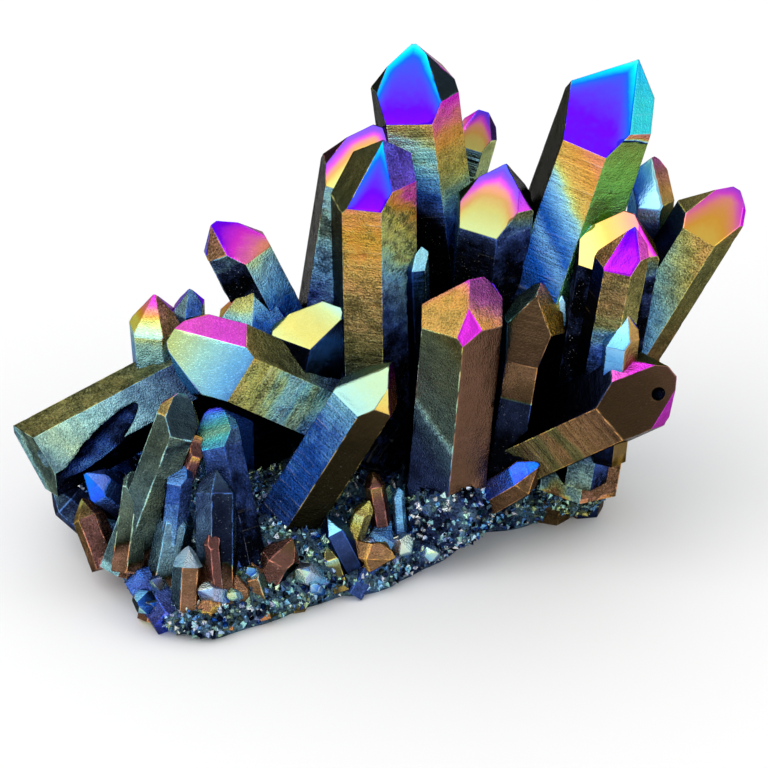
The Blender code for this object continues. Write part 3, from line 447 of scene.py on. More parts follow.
        every=coat((0, 0.07, 0.7), (3, 0.08, 0.3), (6, 0.1, 0.1)),
        cap0=coat((0, 0.06, 1), (3, 0.09, 0.9)),
    ),
    "underBroken": dict(
        shape=dict(tip=(-44, -8, 10), root=(-38, -10, 5), across=4.6, turn=10, heads=(0, 0, 1, 1, 1, 0),
                   buried=3),
        cap0=coat((0, 0.84, 0.2), (3, 0.92, 0.1), coarse=0.6),
        every=coat((0, 0.93, 0.15), (4, 0.97, 0.2), (9, 1, 0.1), coarse=0.8),
    ),
    "blueShard": dict(
        shape=dict(tip=(-25.8, -17, 18.7), root=(-27, -21, 9), across=3.4, turn=-20,
                   heads=(0, 1, 2, 2, 2, 1), buried=5),
        cap0=coat((0, 0.93, 0.8), (3, 0.92, 0.7)),
        side0=coat((0, 0.96, 0.7), (3, 0.93, 0.7), (6, 0.91, 0.6), (9, 0.88, 0.5), (12, 0.96, 0.4),
                   coarse=0.5, bands=0.6),
        side1=coat((0, 0.96, 0.5), (4, 0.93, 0.5), (8, 0.91, 0.5), (12, 0.98, 0.4), coarse=0.5, bands=0.6),
        every=coat((0, 0.97, 0.4), (9, 1, 0.2), coarse=0.4),
    ),
    "thinMauve": dict(
        shape=dict(tip=(-21.5, -24, 12.1), root=(-20.7, -27, 3.7), across=2, turn=20,
                   heads=(0, 1, 1, 1, 1, 0.5), buried=2),
        every=coat((0, 0.5, 0.1), (5, 0.51, 0.12), (9, 0.54, 0.2), coarse=0.2),
        side1=coat((0, 0.84, 0.06), (8, 0.84, 0.04)),
    ),
    "goldFoot": dict(
        shape=dict(tip=(-22.2, -27.5, 6), root=(-21.9, -28, 2.5), across=3.2, turn=-20,
                   heads=(0, 0.5, 1, 1, 1, 0), buried=1.5),
        every=coat((0, 0.62, 0.9), (1.5, 0.57, 0.5), (4, 0.54, 0.25), coarse=0.5),
    ),
    "brownShardA": dict(
        shape=dict(tip=(-16.6, -23, 7), root=(-15, -25, 2.5), across=2.6, turn=0,
                   heads=(0, 0.5, 1, 1, 1, 0), buried=2),
        every=coat((0, 0.57, 0.2), (5, 0.55, 0.14), coarse=0.4),
        side1=coat((0, 0.84, 0.1), (6, 0.66, 0.08)),
    ),
    "brownShardB": dict(
        shape=dict(tip=(-18, -25, 6.4), root=(-17.7, -26, 3), across=2.2, turn=25,
                   heads=(0, 0, 1, 1, 1, 0.5), buried=2),
        every=coat((0, 0.55, 0.3), (4, 0.56, 0.18), coarse=0.6),
    ),
    "mauveSlab": dict(
        shape=dict(tip=(-11.5, -20, 9), root=(-15, -22, 3), across=4.6, turn=-10, heads=(0, 1, 1, 2, 1, 0),
                   buried=2),
        cap0=coat((0, 0.6, 0.12), (3, 0.52, 0.16)),
        every=coat((0, 0.52, 0.14), (4, 0.51, 0.13), (8, 0.54, 0.1), coarse=0.4),
        side1=coat((0, 0.84, 0.05), (8, 0.88, 0.04)),
    ),
    "stripedCube": dict(
        shape=dict(tip=(-10.3, -21.5, 5), root=(-10.5, -22, 1.5), across=2.6, turn=15,
                   heads=(0, 0, 0.5, 0.5, 0.5, 0), buried=2),
        every=coat((0, 0.68, 0.5), (3, 0.62, 0.2), coarse=0.3, bands=1),
    ),
    "goldLedge": dict(
        shape=dict(tip=(-1.4, -14.5, 11.5), root=(-3.2, -16, 6.3), across=2.4, turn=-25,
                   heads=(0, 0.5, 1, 1, 1, 0), buried=4),
        side0=coat((0, 0.7, 1.1), (1.5, 0.64, 0.9), (4, 0.6, 0.6), (7, 0.57, 0.3), coarse=0.5),
        side1=coat((0, 0.64, 0.3), (6, 0.66, 0.15), coarse=0.5),
        every=coat((0, 0.7, 1.1), (2, 0.64, 0.5), (6, 0.6, 0.25), coarse=0.4),
    ),
    "blueWedge": dict(
        shape=dict(tip=(-6.6, -15.5, 10), root=(-4.8, -17, 6.9), across=3.6, turn=15,
                   heads=(0, 0, 1, 1, 1, 0), buried=4),
        cap0=coat((0, 0.87, 1.1), (3, 0.88, 1.0), coarse=0.05, bands=0),
        cap1=coat((0, 0.93, 0.8), (2, 0.9, 0.8), (4, 0.86, 0.8)),
        every=coat((0, 0.94, 0.5), (3, 0.95, 0.3), (6, 1, 0.2)),
    ),
    "cyanChip": dict(
        shape=dict(tip=(2.8, -12, 12.2), root=(3.1, -13, 8.3), across=1.6, turn=0,
                   heads=(0, 0.5, 0.5, 0.5, 0.5, 0), buried=5),
        every=coat((0, 0.88, 0.8), (2, 0.9, 0.8), (4, 0.86, 0.9), (6, 0.94, 0.6), coarse=0.4),
    ),
    "flatBrown": dict(
        shape=dict(tip=(2, -19, 5.5), root=(-7.5, -14, 4.5), across=4, turn=10, heads=(0, 0, 1, 1, 1, 0),
                   buried=4),
        every=coat((0, 0.6, 0.8), (0.8, 0.57, 0.3), (10, 0.55, 0.2), coarse=0.3),
    ),
    "paleBlock": dict(
        shape=dict(tip=(2, -14, 8), root=(-2, -18, 2.5), across=3.5, turn=10, heads=(0, 0, 1, 1, 1, 0),
                   buried=3),
        every=coat((0, 0.9, 1.05), (3, 0.92, 0.7), (6, 0.95, 0.4), coarse=0.5),
    ),
    "mauveNeedle": dict(
        shape=dict(tip=(-0.5, -12, 14.5), root=(1, -14, 5.5), across=2.5, turn=10, heads=(0, 0, 1, 1, 1, 0),
                   buried=5),
        every=coat((0, 0.6, 0.3), (2, 0.5, 0.14), (9, 0.5, 0.1), coarse=0.3),
    ),
    "oliveBlock": dict(
        shape=dict(tip=(-6.8, -17.5, 7), root=(-5.3, -19, 3), across=3.2, turn=10, heads=(0, 0, 1, 1, 1, 0),
                   buried=2),
        every=coat((0, 0.8, 0.5), (1, 0.66, 0.12), (8, 0.58, 0.14), coarse=0.3),
    ),
    "blueUnderLeaning": dict(
        shape=dict(tip=(21.5, -12, 15.5), root=(15, -9, 9), across=4.5, turn=10, heads=(0, 0, 1, 1, 1, 0),
                   buried=3),
        cap5=coat((0, 0.08, 1), (4, 0.1, 0.8)),
        cap0=coat((0, 0.57, 0.2), (4, 0.57, 0.14), coarse=0.5),
        side5=coat((0, 0.08, 0.9), (3, 0.09, 0.5), (8, 0.1, 0.15)),
        every=coat((0, 0.57, 0.16), (8, 0.56, 0.1), coarse=0.4),
    ),
    "rightFoot": dict(
        shape=dict(tip=(30, 0, 12), root=(29, 2, 2), across=5, turn=10, heads=(0, 0, 1, 1, 1, 0), buried=2),
        cap0=coat((0, 0.48, 0.6), (3, 0.6, 0.3)),
        side0=coat((0, 0.5, 0.15), (5, 0.95, 0.3), (9, 0.98, 0.3)),
        every=coat((0, 0.62, 0.4), (4, 0.56, 0.14), (9, 0.58, 0.1), coarse=0.6),
    ),
    "greyFoot": dict(
        shape=dict(tip=(25.5, -3, 12), root=(24.5, 0, 2), across=4.5, turn=-15, heads=(0, 1, 1, 1, 1, 0),
                   buried=2),
        every=coat((0, 0.5, 0.15), (4, 0.54, 0.1), (8, 0.6, 0.12), coarse=0.6),
    ),
}

# the crystals behind: the shape of each, and the film at its tip
backCrystals = {
    "backA": dict(film=0.28, tip=(21, 21, 29), root=(15, 13, 8), across=7.5, turn=20,
                  heads=(0, 1.5, 0.5, 0, 2, 1)),
    "backB": dict(film=0.1, tip=(2, 21, 38), root=(2.5, 14, 12), across=8, turn=-10,
                  heads=(2, 1, 0, 0.6, 0, 1.5)),
    "backC": dict(film=0.4, tip=(-8.5, 24.5, 21.5), root=(-5, 16.5, 6), across=6.4, turn=12,
                  heads=(1, 2, 0, 0.4, 1, 2)),
    "backD": dict(film=0.55, tip=(11.5, 26.5, 27), root=(9, 17.5, 8), across=6, turn=-18,
                  heads=(1, 1, 0.3, 0, 1.4, 2)),
    "backE": dict(film=0.2, tip=(-18.5, 22, 22.5), root=(-13, 13, 10), across=7, turn=25,
                  heads=(1, 2, 0, 1, 0, 1)),
    "backF": dict(film=0.44, tip=(27, 25.5, 21), root=(20, 17, 7), across=5.4, turn=5,
                  heads=(1, 0.4, 0, 0, 1, 1)),
    "backG": dict(film=0.62, tip=(-29.5, 19, 17.5), root=(-23, 11, 9), across=5.6, turn=-8,
                  heads=(1, 2, 1, 0, 0.5, 1)),
    "backH": dict(film=0.34, tip=(32, 17, 21), root=(26, 11, 8), across=5.8, turn=15,
                  heads=(1, 0.5, 0, 1, 1, 1)),
    "backI": dict(film=0.5, tip=(-39, 9, 12.5), root=(-31, 5, 7), across=5, turn=30,
                  heads=(1, 1, 1, 0, 0, 1)),
    "backJ": dict(film=0.3, tip=(-26, 14, 20), root=(-21, 8, 8), across=6.2, turn=-12,
                  heads=(1, 2, 0, 0.5, 1, 1)),
    "backK": dict(film=0.14, tip=(-33, 14.5, 13), root=(-27, 9, 6), across=4.6, turn=40,
                  heads=(1, 1, 0.4, 0, 0.6, 1)),
    "backL": dict(film=0.66, tip=(-12.5, 27, 17), root=(-9, 19, 6), across=5, turn=-25,
                  heads=(1, 0, 1, 0.3, 0.8, 1)),
    "backM": dict(film=0.36, tip=(-24, 24.5, 13.5), root=(-19, 18, 6), across=4.4, turn=10,
                  heads=(1, 0.5, 0, 1, 0.2, 0.6)),
    "backN": dict(film=0.48, tip=(5.4, 28.2, 15.5), root=(3, 20.2, 6), across=4.6, turn=30,
                  heads=(1, 0, 0.5, 0.2, 1, 0.8)),
    "backO": dict(film=0.24, tip=(20, 27.5, 14), root=(17, 20.5, 5), across=4.2, turn=0,
                  heads=(1, 1, 0, 0.4, 0.2, 1)),
    "backP": dict(film=0.7, tip=(-3, 20, 32), root=(-1.5, 12, 10), across=5.5, turn=35,
                  heads=(0.6, 1, 0, 0.5, 1, 0.3)),
    "backQ": dict(film=0.4, tip=(13, 20, 41), root=(11.5, 13, 12), across=5, turn=5,
                  heads=(1, 0.7, 0, 0.4, 1, 1)),
    "backR": dict(film=0.58, tip=(-15, 15, 26), root=(-11, 9, 10), across=5.6, turn=-30,
                  heads=(1, 1, 0, 0.6, 0.2, 1)),
}

# how faces are cut into rows, how worn and rough they are, in mm, and the painted highlight along their edges
facet = {
    "rowStep": 0.42, "capStep": 0.3, "buriedStep": 2.5,  # between rows: sides, end faces, inside the rock
    "rowLeast": 0.1,  # a row nearer than this to another is left out
    "edgeBand": 0.16,  # first row and column in from an edge
    "edgeCalm": 0.1, "edgeSoft": 1.0,  # relief starts here and reaches its full height over this
    "wear": 0.035, "chip": 0.22, "chipSize": 1.3, "chipLeast": 0.35,  # how far edges are rubbed back
    "wave": 0.03, "waveSize": 5.0,  # gentle swell of a face
    "ledge": 0.16, "ledgeSize": 1.6, "ledgeSteps": 3, "ledgeStretch": (0.35, 1.1),  # growth steps
    "ruffle": 0.22, "ruffleSize": 1.1, "ruffleFine": 0.6, "ruffleFineSize": 0.55,  # relief of a rough face
    "sink": 0.03,
    "wander": 1.2, "wanderLeast": 0.1,  # how far the colours of a rough face stray
    "straySize": 2.2, "strayStretch": (0.6, 0.6, 1),
    "strayFine": 0.7, "strayFineSize": 0.9, "strayFineStretch": (0.3, 1.6),
    "gleam": 1.3,  # tone of the painted highlight along an edge
    "gleamSize": 0.9, "gleamFall": 1.6, "gleamShare": 0.35, "gleamCoarse": 3,
}
# what counts as parallel, inside, the same spot, touching, square to the axis and one corner of the mesh
closeness = {"parallel": 1e-7, "inside": 1e-6, "same": 1e-5, "touch": 2e-6, "square": 0.05, "weld": 1e-3}
weldShift = 0.137  # moves the weld's steps off the round numbers that corners lie on
noSide = (0.3, 0.5, 0.8)  # a direction that no crystal's root or foot faces
noiseCells, noiseOrigin = 4096, 500.37
noiseTable = np.random.RandomState(11).rand(noiseCells)
cellSteps, cellTwists = (73, 179, 283), (7, 13)  # scatter the cells over the table
faceStride = (7.1, 3.3, 5.7)  # moves the noise on from face to face and from crystal to crystal
ledgeStride, flatStride = 9, 11  # the same for the growth steps, and for the faces in the facet map
farAway, nearlyNothing = 1e9, 1e-9


def cellValue(cell):
    x, y, z = cell[..., 0], cell[..., 1], cell[..., 2]
    code = x * cellSteps[0] + y * cellSteps[1] + z * cellSteps[2]
    code = code + x * y * cellTwists[0] + z * y * cellTwists[1]
    return noiseTable[np.mod(code, noiseCells)]


def smoothNoise(points, size):
    # a value from -1 to 1 that changes over this size
    scaled = np.asarray(points) / size + noiseOrigin
    cell = np.floor(scaled).astype(np.int64)
    part = scaled - cell
    part = part * part * (3 - 2 * part)
    total = 0
    for x in (0, 1):
        for y in (0, 1):
            for z in (0, 1):
                corner = np.array((x, y, z))
                near = np.abs(1 - corner - part)
                total = total + near[..., 0] * near[..., 1] * near[..., 2] * cellValue(cell + corner)
    return total * 2 - 1


def unit(v):
    return v / np.linalg.norm(v)


def crystalPlanes(shape):
    # name, point and outward normal of every face, as the growth habit sets them
    tip = np.array(shape["tip"], float)
    root = np.array(shape["root"], float)
    axis = unit(tip - root)
    root = root - axis * shape.get("buried", quartz["buried"])
    front = np.array((0, -1.0, 0))
    front = unit(front - axis * front.dot(axis))
    right = np.cross(axis, front)
    lean = math.radians(shape.get("taper", 0))
    slope = math.radians(quartz["capSlope"])
    sides = quartz["sides"]
    planes = []
    for i in range(sides):
        angle = math.radians(shape["turn"] + i * 360 / sides)
        out = front * math.cos(angle) + right * math.sin(angle)
        reach = shape["across"] / 2 * shape.get("sides", (1,) * sides)[i]
        planes.append(("side%d" % i, tip + out * reach, out * math.cos(lean) + axis * math.sin(lean)))
        if shape["heads"][i] is not None:
            cap = out * math.cos(slope) + axis * math.sin(slope)
            planes.append(("cap%d" % i, tip + axis * shape["heads"][i], cap))
    for k, (around, above, shift) in enumerate(shape.get("cuts", ())):
        out = front * math.cos(math.radians(around)) + right * math.sin(math.radians(around))
        normal = out * math.cos(math.radians(above)) + axis * math.sin(math.radians(above))
        planes.append(("cut%d" % k, tip + normal * shift, normal))
    planes.append(("root", root, -axis))
    planes.append(("ground", np.zeros(3), np.array((0, 0, -1.0))))
    return tip, axis, planes


def planeCorners(planes):
    # the corners of the solid, and which faces meet at each
    names = [p[0] for p in planes]
    normals = np.array([p[2] for p in planes])
    offsets = np.array([p[1].dot(p[2]) for p in planes])
    corners = []
    count = len(planes)
    for a in range(count):
        for b in range(a + 1, count):
            for c in range(b + 1, count):
                three = normals[[a, b, c]]
                if abs(np.linalg.det(three)) < closeness["parallel"]:
                    continue
                spot = np.linalg.solve(three, offsets[[a, b, c]])
                if np.all(normals @ spot <= offsets + closeness["inside"]):
                    if all(np.linalg.norm(spot - other) > closeness["same"] for other in corners):
                        corners.append(spot)
    corners = np.array(corners)
    meets = np.abs(corners @ normals.T - offsets) < closeness["touch"]
    return names, corners, meets


def rowHeights(cornerHeights, capsEnd, rootHeight):
    fixed = np.unique(np.round(cornerHeights, 6))
    rows = list(fixed)
    extra = []
    h = fixed[-1]
    while h > fixed[0]:
        step = facet["capStep"] if h > capsEnd else facet["rowStep"]
        if h < rootHeight:
            step = facet["buriedStep"]
        h -= step
        extra.append(h)
    for h in fixed:
        if h > rootHeight:
            extra += [h - facet["edgeBand"], h + facet["edgeBand"]]
    extra.sort()
    for h in extra:
        if fixed[0] < h < fixed[-1] and np.min(np.abs(np.array(rows) - h)) > facet["rowLeast"]:
            rows.append(h)
    return np.array(sorted(rows, reverse=True))


def stopsAt(paint, depth):
    # film and tone this far below the top of a face
    stops = np.array(paint["stops"])
    return np.interp(depth, stops[:, 0], stops[:, 1]), np.interp(depth, stops[:, 0], stops[:, 2])


def spread(left, right, columns):
    # places across a row: close to both edges first, then evenly between
    width = right - left
    edge = min(facet["edgeBand"], width / (columns - 1))
    inner = np.linspace(left + edge, right - edge, columns - 2)
    return np.concatenate(([left], inner, [right]))


# for a face that its crystal gives no coat: film at the top, and where a side turns blue and navy
unseen = {"side": (0.62, 0.84), "blue": (3, 6), "navy": (9, 14), "cap": (0.12, 0.6)}


def unseenCoat(name, chance):
    if name.startswith("side"):
        start = chance.uniform(*unseen["side"])
        return coat((0, start, 0.7), (chance.uniform(*unseen["blue"]), 0.9, 0.8),
                    (chance.uniform(*unseen["navy"]), 0.98, 0.8), (22, 1, 0.4), coarse=0.4, bands=0.5)
    start = chance.uniform(*unseen["cap"])
    return coat((0, start), (4, start + 0.1), (9, start + 0.16), rim=-0.1, coarse=0.1, bands=0.1)


def faceShift(number, tip):
    return np.array((faceStride[0] * number, faceStride[1] * tip[0], faceStride[2] * tip[2]))


def rowSpan(outline, level):
    # where a row at this height enters and leaves a face
    low, high = farAway, -farAway
    touch = closeness["touch"]
    for i in range(len(outline)):
        (v0, h0), (v1, h1) = outline[i], outline[(i + 1) % len(outline)]
        if abs(h0 - h1) < touch:
            if abs(level - h0) < touch:
                low, high = min(low, v0, v1), max(high, v0, v1)
        elif min(h0, h1) - touch <= level <= max(h0, h1) + touch:
            v = v0 + (v1 - v0) * (level - h0) / (h1 - h0)
            low, high = min(low, v), max(high, v)
    return low, high


def edgeDistances(u, v, outline, edgeNames, ownName):
    # from each point to the nearest edge, and to the nearest edge shared with an end face
    edgeGap = np.full(u.shape, farAway)
    capGap = np.full(u.shape, farAway)
    for i, other in enumerate(edgeNames):
        start = outline[i]
        side = outline[(i + 1) % len(outline)] - start
        length = np.linalg.norm(side)
        if length < closeness["inside"]:
            continue
        gap = np.abs((u - start[0]) * side[1] - (v - start[1]) * side[0]) / length
        edgeGap = np.minimum(edgeGap, gap)
        if other.startswith("cap") and ownName.startswith(("cap", "cut")):
            capGap = np.minimum(capGap, gap)
    return edgeGap, capGap


def faceCoat(paint, place, u, v, depth, capGap, number, shift):
    # film and tone at each point, strayed from the plain run of stops
    stray = smoothNoise(place * facet["strayStretch"] + shift, facet["straySize"])
    wide, tall = facet["strayFineStretch"]
    fine = np.stack((u * wide, v * tall, 0 * v + number), -1)
    stray = stray + facet["strayFine"] * smoothNoise(fine, facet["strayFineSize"])
    film, tone = stopsAt(paint, depth + stray * facet["wander"] * (paint["coarse"] + facet["wanderLeast"]))
    return film + paint["rim"] * np.exp(-(capGap / paint["reach"]) ** 2), tone


def faceRelief(paint, place, u, v, edgeGap, number, tip, shift):
    # swell, growth steps and roughness, none of it at the edges
    inner = np.clip((edgeGap - facet["edgeCalm"]) / facet["edgeSoft"], 0, 1)
    swell = smoothNoise(place + shift, facet["waveSize"]) * facet["wave"]
    wide, tall = facet["ledgeStretch"]
    steps = np.stack((u * wide, v * tall, 0 * v + number * ledgeStride + tip[0]), -1)
    ledges = np.round(smoothNoise(steps, facet["ledgeSize"]) * facet["ledgeSteps"]) / facet["ledgeSteps"]
    ledges = ledges * facet["ledge"] * paint["bands"]
    rough = smoothNoise(place + shift, facet["ruffleSize"])
    rough = rough + facet["ruffleFine"] * smoothNoise(place - shift, facet["ruffleFineSize"])
    rough = rough * facet["ruffle"] * paint["coarse"]
    return (swell + ledges + rough - facet["sink"]) * inner


def oneFace(face, tip, axis, rows, rootHeight, columns):
    # the points of one face in rows and columns, with how far each is pushed out and its coat
    paint, normal, outline, number = face["paint"], face["normal"], face["outline"], face["number"]
    across = face["across"]
    up = np.cross(normal, across)
    rise = up.dot(axis)
    lift = normal.dot(face["point"] - tip)
    height = outline[:, 1]
    inside = closeness["inside"]
    levels = rows[(rows >= height.min() - inside) & (rows <= height.max() + inside)]
    own = np.stack((outline[:, 0], (height - lift * normal.dot(axis)) / rise), axis=1)
    u = np.array([spread(*rowSpan(outline, level), columns) for level in levels])
    v = np.repeat(((levels - lift * normal.dot(axis)) / rise)[:, None], columns, axis=1)
    place = tip + u[..., None] * across + v[..., None] * up + normal * lift
    edgeGap, capGap = edgeDistances(u, v, own, face["edgeNames"], face["name"])
    middle = (own[:, 0].min() + own[:, 0].max()) / 2
    depth = own[:, 1].max() - v + paint["slant"] * (u - middle)
    shift = faceShift(number, tip)
    film, tone = faceCoat(paint, place, u, v, depth, capGap, number, shift)
    relief = faceRelief(paint, place, u, v, edgeGap, number, tip, shift)
    chips = np.clip(smoothNoise(place, facet["chipSize"]) - facet["chipLeast"], 0, 1)
    worn = chips * facet["chip"] + facet["wear"]
    isEdge = edgeGap < closeness["same"]
    # a painted highlight along the edges of rough faces, broken up by noise
    gleam = smoothNoise(place + shift, facet["gleamSize"]) * facet["gleamFall"] + facet["gleamShare"]
    gleam = np.clip(gleam, 0, 1) * min(1, paint["coarse"] * facet["gleamCoarse"])
    tone = np.where(isEdge, tone + (facet["gleam"] - tone) * gleam, tone)
    push = np.where(isEdge, -worn, relief)
    push = np.where((levels < rootHeight)[:, None], 0, push)
    count = len(levels) * columns
    even = np.ones(u.shape)
    index = np.arange(count).reshape(len(levels), columns)
    a, b = index[1:, :-1].ravel(), index[1:, 1:].ravel()
    c, d = index[:-1, 1:].ravel(), index[:-1, :-1].ravel()
    return dict(
        spots=place.reshape(-1, 3), shifts=(push[..., None] * normal).reshape(-1, 3),
        values=np.stack((film, tone, even * paint["coarse"], even * paint["bands"]), -1).reshape(-1, 4),
        flats=np.stack((u + flatStride * number, v), -1).reshape(-1, 2),
        triangles=np.concatenate((np.stack((a, b, c), 1), np.stack((a, c, d), 1))))


def welded(faces, closings):
    # joins the faces where they meet, and closes the flat ends
    starts = np.cumsum([0] + [len(face["spots"]) for face in faces])
    spots, shifts, values, flats = (
        np.concatenate([face[key] for face in faces]) for key in ("spots", "shifts", "values", "flats"))
    triangles = np.concatenate([face["triangles"] + start for face, start in zip(faces, starts)])
    key = np.round(spots / closeness["weld"] + weldShift).astype(np.int64)
    _, first, same = np.unique(key, axis=0, return_index=True, return_inverse=True)
    same = same.reshape(-1)
    merged = spots[first]
    times = np.bincount(same)
    push = np.stack([np.bincount(same, weights=shifts[:, k]) / times for k in range(3)], 1)
    joined = same[triangles]
    whole = (joined[:, 0] != joined[:, 1]) & (joined[:, 1] != joined[:, 2]) & (joined[:, 0] != joined[:, 2])
    triangles, joined = triangles[whole], joined[whole]
    for point, normal in closings:
        onPlane = np.where(np.abs((merged - point) @ normal) < closeness["same"])[0]
        if len(onPlane) < 3:
            continue
        sideways = unit(np.cross(normal, noSide))
        other = np.cross(normal, sideways)
        centre = merged[onPlane].mean(0)
        turn = np.arctan2((merged[onPlane] - centre) @ other, (merged[onPlane] - centre) @ sideways)
        ring = onPlane[np.argsort(turn)]
        fan = np.stack((np.full(len(ring) - 2, ring[0]), ring[1:-1], ring[2:]), 1)
        joined = np.concatenate((joined, fan))
        triangles = np.concatenate((triangles, first[fan]))
    return dict(points=merged + push, triangles=joined, values=values[triangles], flats=flats[triangles])


def facetedCrystal(shape, coats, columns, chance):
    tip, axis, planes = crystalPlanes(shape)
    names, corners, meets = planeCorners(planes)
    heights = (corners - tip) @ axis
    endFaces = [k for k, name in enumerate(names) if name.startswith(("cap", "cut"))]
    endHeights = [heights[i] for i in range(len(corners)) if any(meets[i, k] for k in endFaces)]
    capsEnd = min(endHeights) if endHeights else heights.max()
    rootHeight = (np.array(shape["root"], float) - tip) @ axis
    rows = rowHeights(heights, capsEnd, rootHeight)
    faces, closings = [], []
    for number, (name, point, normal) in enumerate(planes):
        on = np.where(meets[:, number])[0]
        if len(on) < 3:
            continue
        across = np.cross(axis, normal)
        if np.linalg.norm(across) < closeness["square"]:
            closings.append((point, normal))
            continue
        across = unit(across)
        outline = np.stack(((corners[on] - tip) @ across, heights[on]), axis=1)
        order = np.argsort(np.arctan2(*(outline - outline.mean(0)).T[::-1]))
        on, outline = on[order], outline[order]
        edgeNames = []
        for i in range(len(on)):
            shared = meets[on[i]] & meets[on[(i + 1) % len(on)]]
            shared[number] = False
            edgeNames.append(names[int(np.argmax(shared))])
        paint = coats.get(name) or coats.get("every") or unseenCoat(name, chance)
        face = dict(name=name, number=number, point=point, normal=normal, across=across,
                    outline=outline, edgeNames=edgeNames, paint=paint)
        faces.append(oneFace(face, tip, axis, rows, rootHeight, columns))
    return welded(faces, closings)


def joinShells(shells):
    starts = np.cumsum([0] + [len(shell["points"]) for shell in shells])
    joined = {key: np.concatenate([shell[key] for shell in shells]) for key in ("points", "values", "flats")}
    joined["triangles"] = np.concatenate([shell["triangles"] + start for shell, start in zip(shells, starts)])
    return joined


valueNames = ("film", "tone", "coarse", "bands")
flatScale = 100  # the facet map runs in tenths of a metre


def meshFrom(name, shell):
    mesh = bpy.data.meshes.new(name)
    points = (shell["points"] * mm).astype(np.float32)
    triangles = shell["triangles"].astype(np.int32)
    mesh.vertices.add(len(points))
    mesh.vertices.foreach_set("co", points.ravel())
    mesh.loops.add(triangles.size)
    mesh.loops.foreach_set("vertex_index", triangles.ravel())
    mesh.polygons.add(len(triangles))
    mesh.polygons.foreach_set("loop_start", np.arange(len(triangles), dtype=np.int32) * 3)
    mesh.polygons.foreach_set("use_smooth", np.ones(len(triangles), bool))
    mesh.update(calc_edges=True)
    for k, valueName in enumerate(valueNames):
        layer = mesh.attributes.new(valueName, "FLOAT", "CORNER")
        layer.data.foreach_set("value", shell["values"][:, :, k].astype(np.float32).ravel())
    layer = mesh.uv_layers.new(name="facet")
    layer.data.foreach_set("uv", (shell["flats"] / flatScale).astype(np.float32).ravel())
    mesh.validate()
    ob = bpy.data.objects.new(name, mesh)
    bpy.context.scene.collection.objects.link(ob)
    return ob


def shellFrom(ob):
    # reads a mesh back, so that it can be joined to its neighbours
    mesh = ob.evaluated_get(bpy.context.evaluated_depsgraph_get()).to_mesh()
    mesh.calc_loop_triangles()
    points = np.zeros(len(mesh.vertices) * 3)
    mesh.vertices.foreach_get("co", points)
    loops = np.zeros(len(mesh.loop_triangles) * 3, np.int32)
    mesh.loop_triangles.foreach_get("loops", loops)
    corners = np.zeros(len(mesh.loops), np.int32)
    mesh.loops.foreach_get("vertex_index", corners)
    values = []
    for valueName in valueNames:
        row = np.zeros(len(mesh.loops))
        mesh.attributes[valueName].data.foreach_get("value", row)
        values.append(row[loops])
    flats = np.zeros(len(mesh.loops) * 2)
    mesh.uv_layers["facet"].data.foreach_get("uv", flats)
    return dict(points=points.reshape(-1, 3) / mm, triangles=corners[loops].reshape(-1, 3),
                values=np.stack(values, 1).reshape(-1, 3, len(valueNames)),
                flats=flats.reshape(-1, 2)[loops].reshape(-1, 3, 2) * flatScale)


# hollows broken out of a crystal, in mm and degrees; the low tone of each paints shade into the hollow
dents = {
    "brokenLeft": (
        dict(middle=(-37.8, -10.1, 16.5), half=(8.9, 2.6, 1.9), turns=(137, -35, 40), ruffle=0.2, level=5,
             film=0.99, tone=0.5, patches=0.06),
        dict(middle=(-45.6, -11, 15.5), half=(2, 2, 1.6), turns=(0, 0, 0), ruffle=0.2, level=4,
             film=0.86, tone=0.25, patches=0.02)),
    "leaningRight": (
        dict(middle=(36.93, -14.15, 28.14), half=(0.95, 0.95, 0.95), turns=(0, 0, 0), ruffle=0.05, level=4,
             film=1.0, tone=0.1, patches=0),),
}
# broken quartz curves in shallow shells
dentLook = {
    "shellSize": 3.1, "shellSteps": 4, "fine": 0.5, "fineSize": 1.0, "height": 1.5,
    "patchSize": 2.3, "patchShift": 31, "patchEdge": 2.5, "patchTone": 8, "coarse": 0.5,
}


def ballShell(level):
    bm = bmesh.new()
    bmesh.ops.create_icosphere(bm, subdivisions=level, radius=1)
    points = np.array([v.co for v in bm.verts])
    triangles = np.array([[v.index for v in face.verts] for face in bm.faces])
    bm.free()
    return points, triangles


def paintedShell(points, triangles, film, tone, coarse, flats):
    even = np.ones(len(points))
    values = np.stack((film, tone, even * coarse, even * 0), 1)
    return dict(points=points, triangles=triangles, values=values[triangles], flats=flats[triangles])


def dentObject(name, middle, half, turns, ruffle, level, film, tone, patches):
    points, triangles = ballShell(level)
    spin = Matrix.Identity(3)
    for axisName, turn in zip("XYZ", turns):
        spin = Matrix.Rotation(math.radians(turn), 3, axisName) @ spin
    points = points * np.array(half)
    points = points @ np.array(spin).T + np.array(middle)
    outward = points - np.array(middle)
    outward = outward / np.linalg.norm(outward, axis=1)[:, None]
    steps = dentLook["shellSteps"]
    relief = np.round(smoothNoise(points, dentLook["shellSize"]) * steps) / steps
    relief = relief + dentLook["fine"] * smoothNoise(points, dentLook["fineSize"])
    points = points + outward * (relief * ruffle * dentLook["height"])[:, None]
    spots = smoothNoise(points + dentLook["patchShift"], dentLook["patchSize"])
    film = film - patches * np.clip(spots * dentLook["patchEdge"], 0, 1)
    tone = tone + np.clip(spots, 0, 1) * patches * dentLook["patchTone"]
    return meshFrom(name, paintedShell(points, triangles, film, tone, dentLook["coarse"], points[:, [0, 2]]))


def dentedShell(name, shell):
    body = meshFrom(name, shell)
    cutters = []
    for dent in dents[name]:
        cutters.append(dentObject(name + "Dent", **dent))
        change = body.modifiers.new("dent", "BOOLEAN")
        change.solver = "EXACT"
        change.operation = "DIFFERENCE"
        change.object = cutters[-1]
    bpy.context.view_layer.update()
    result = shellFrom(body)
    for ob in [body] + cutters:
        bpy.data.objects.remove(ob, do_unlink=True)
    return result


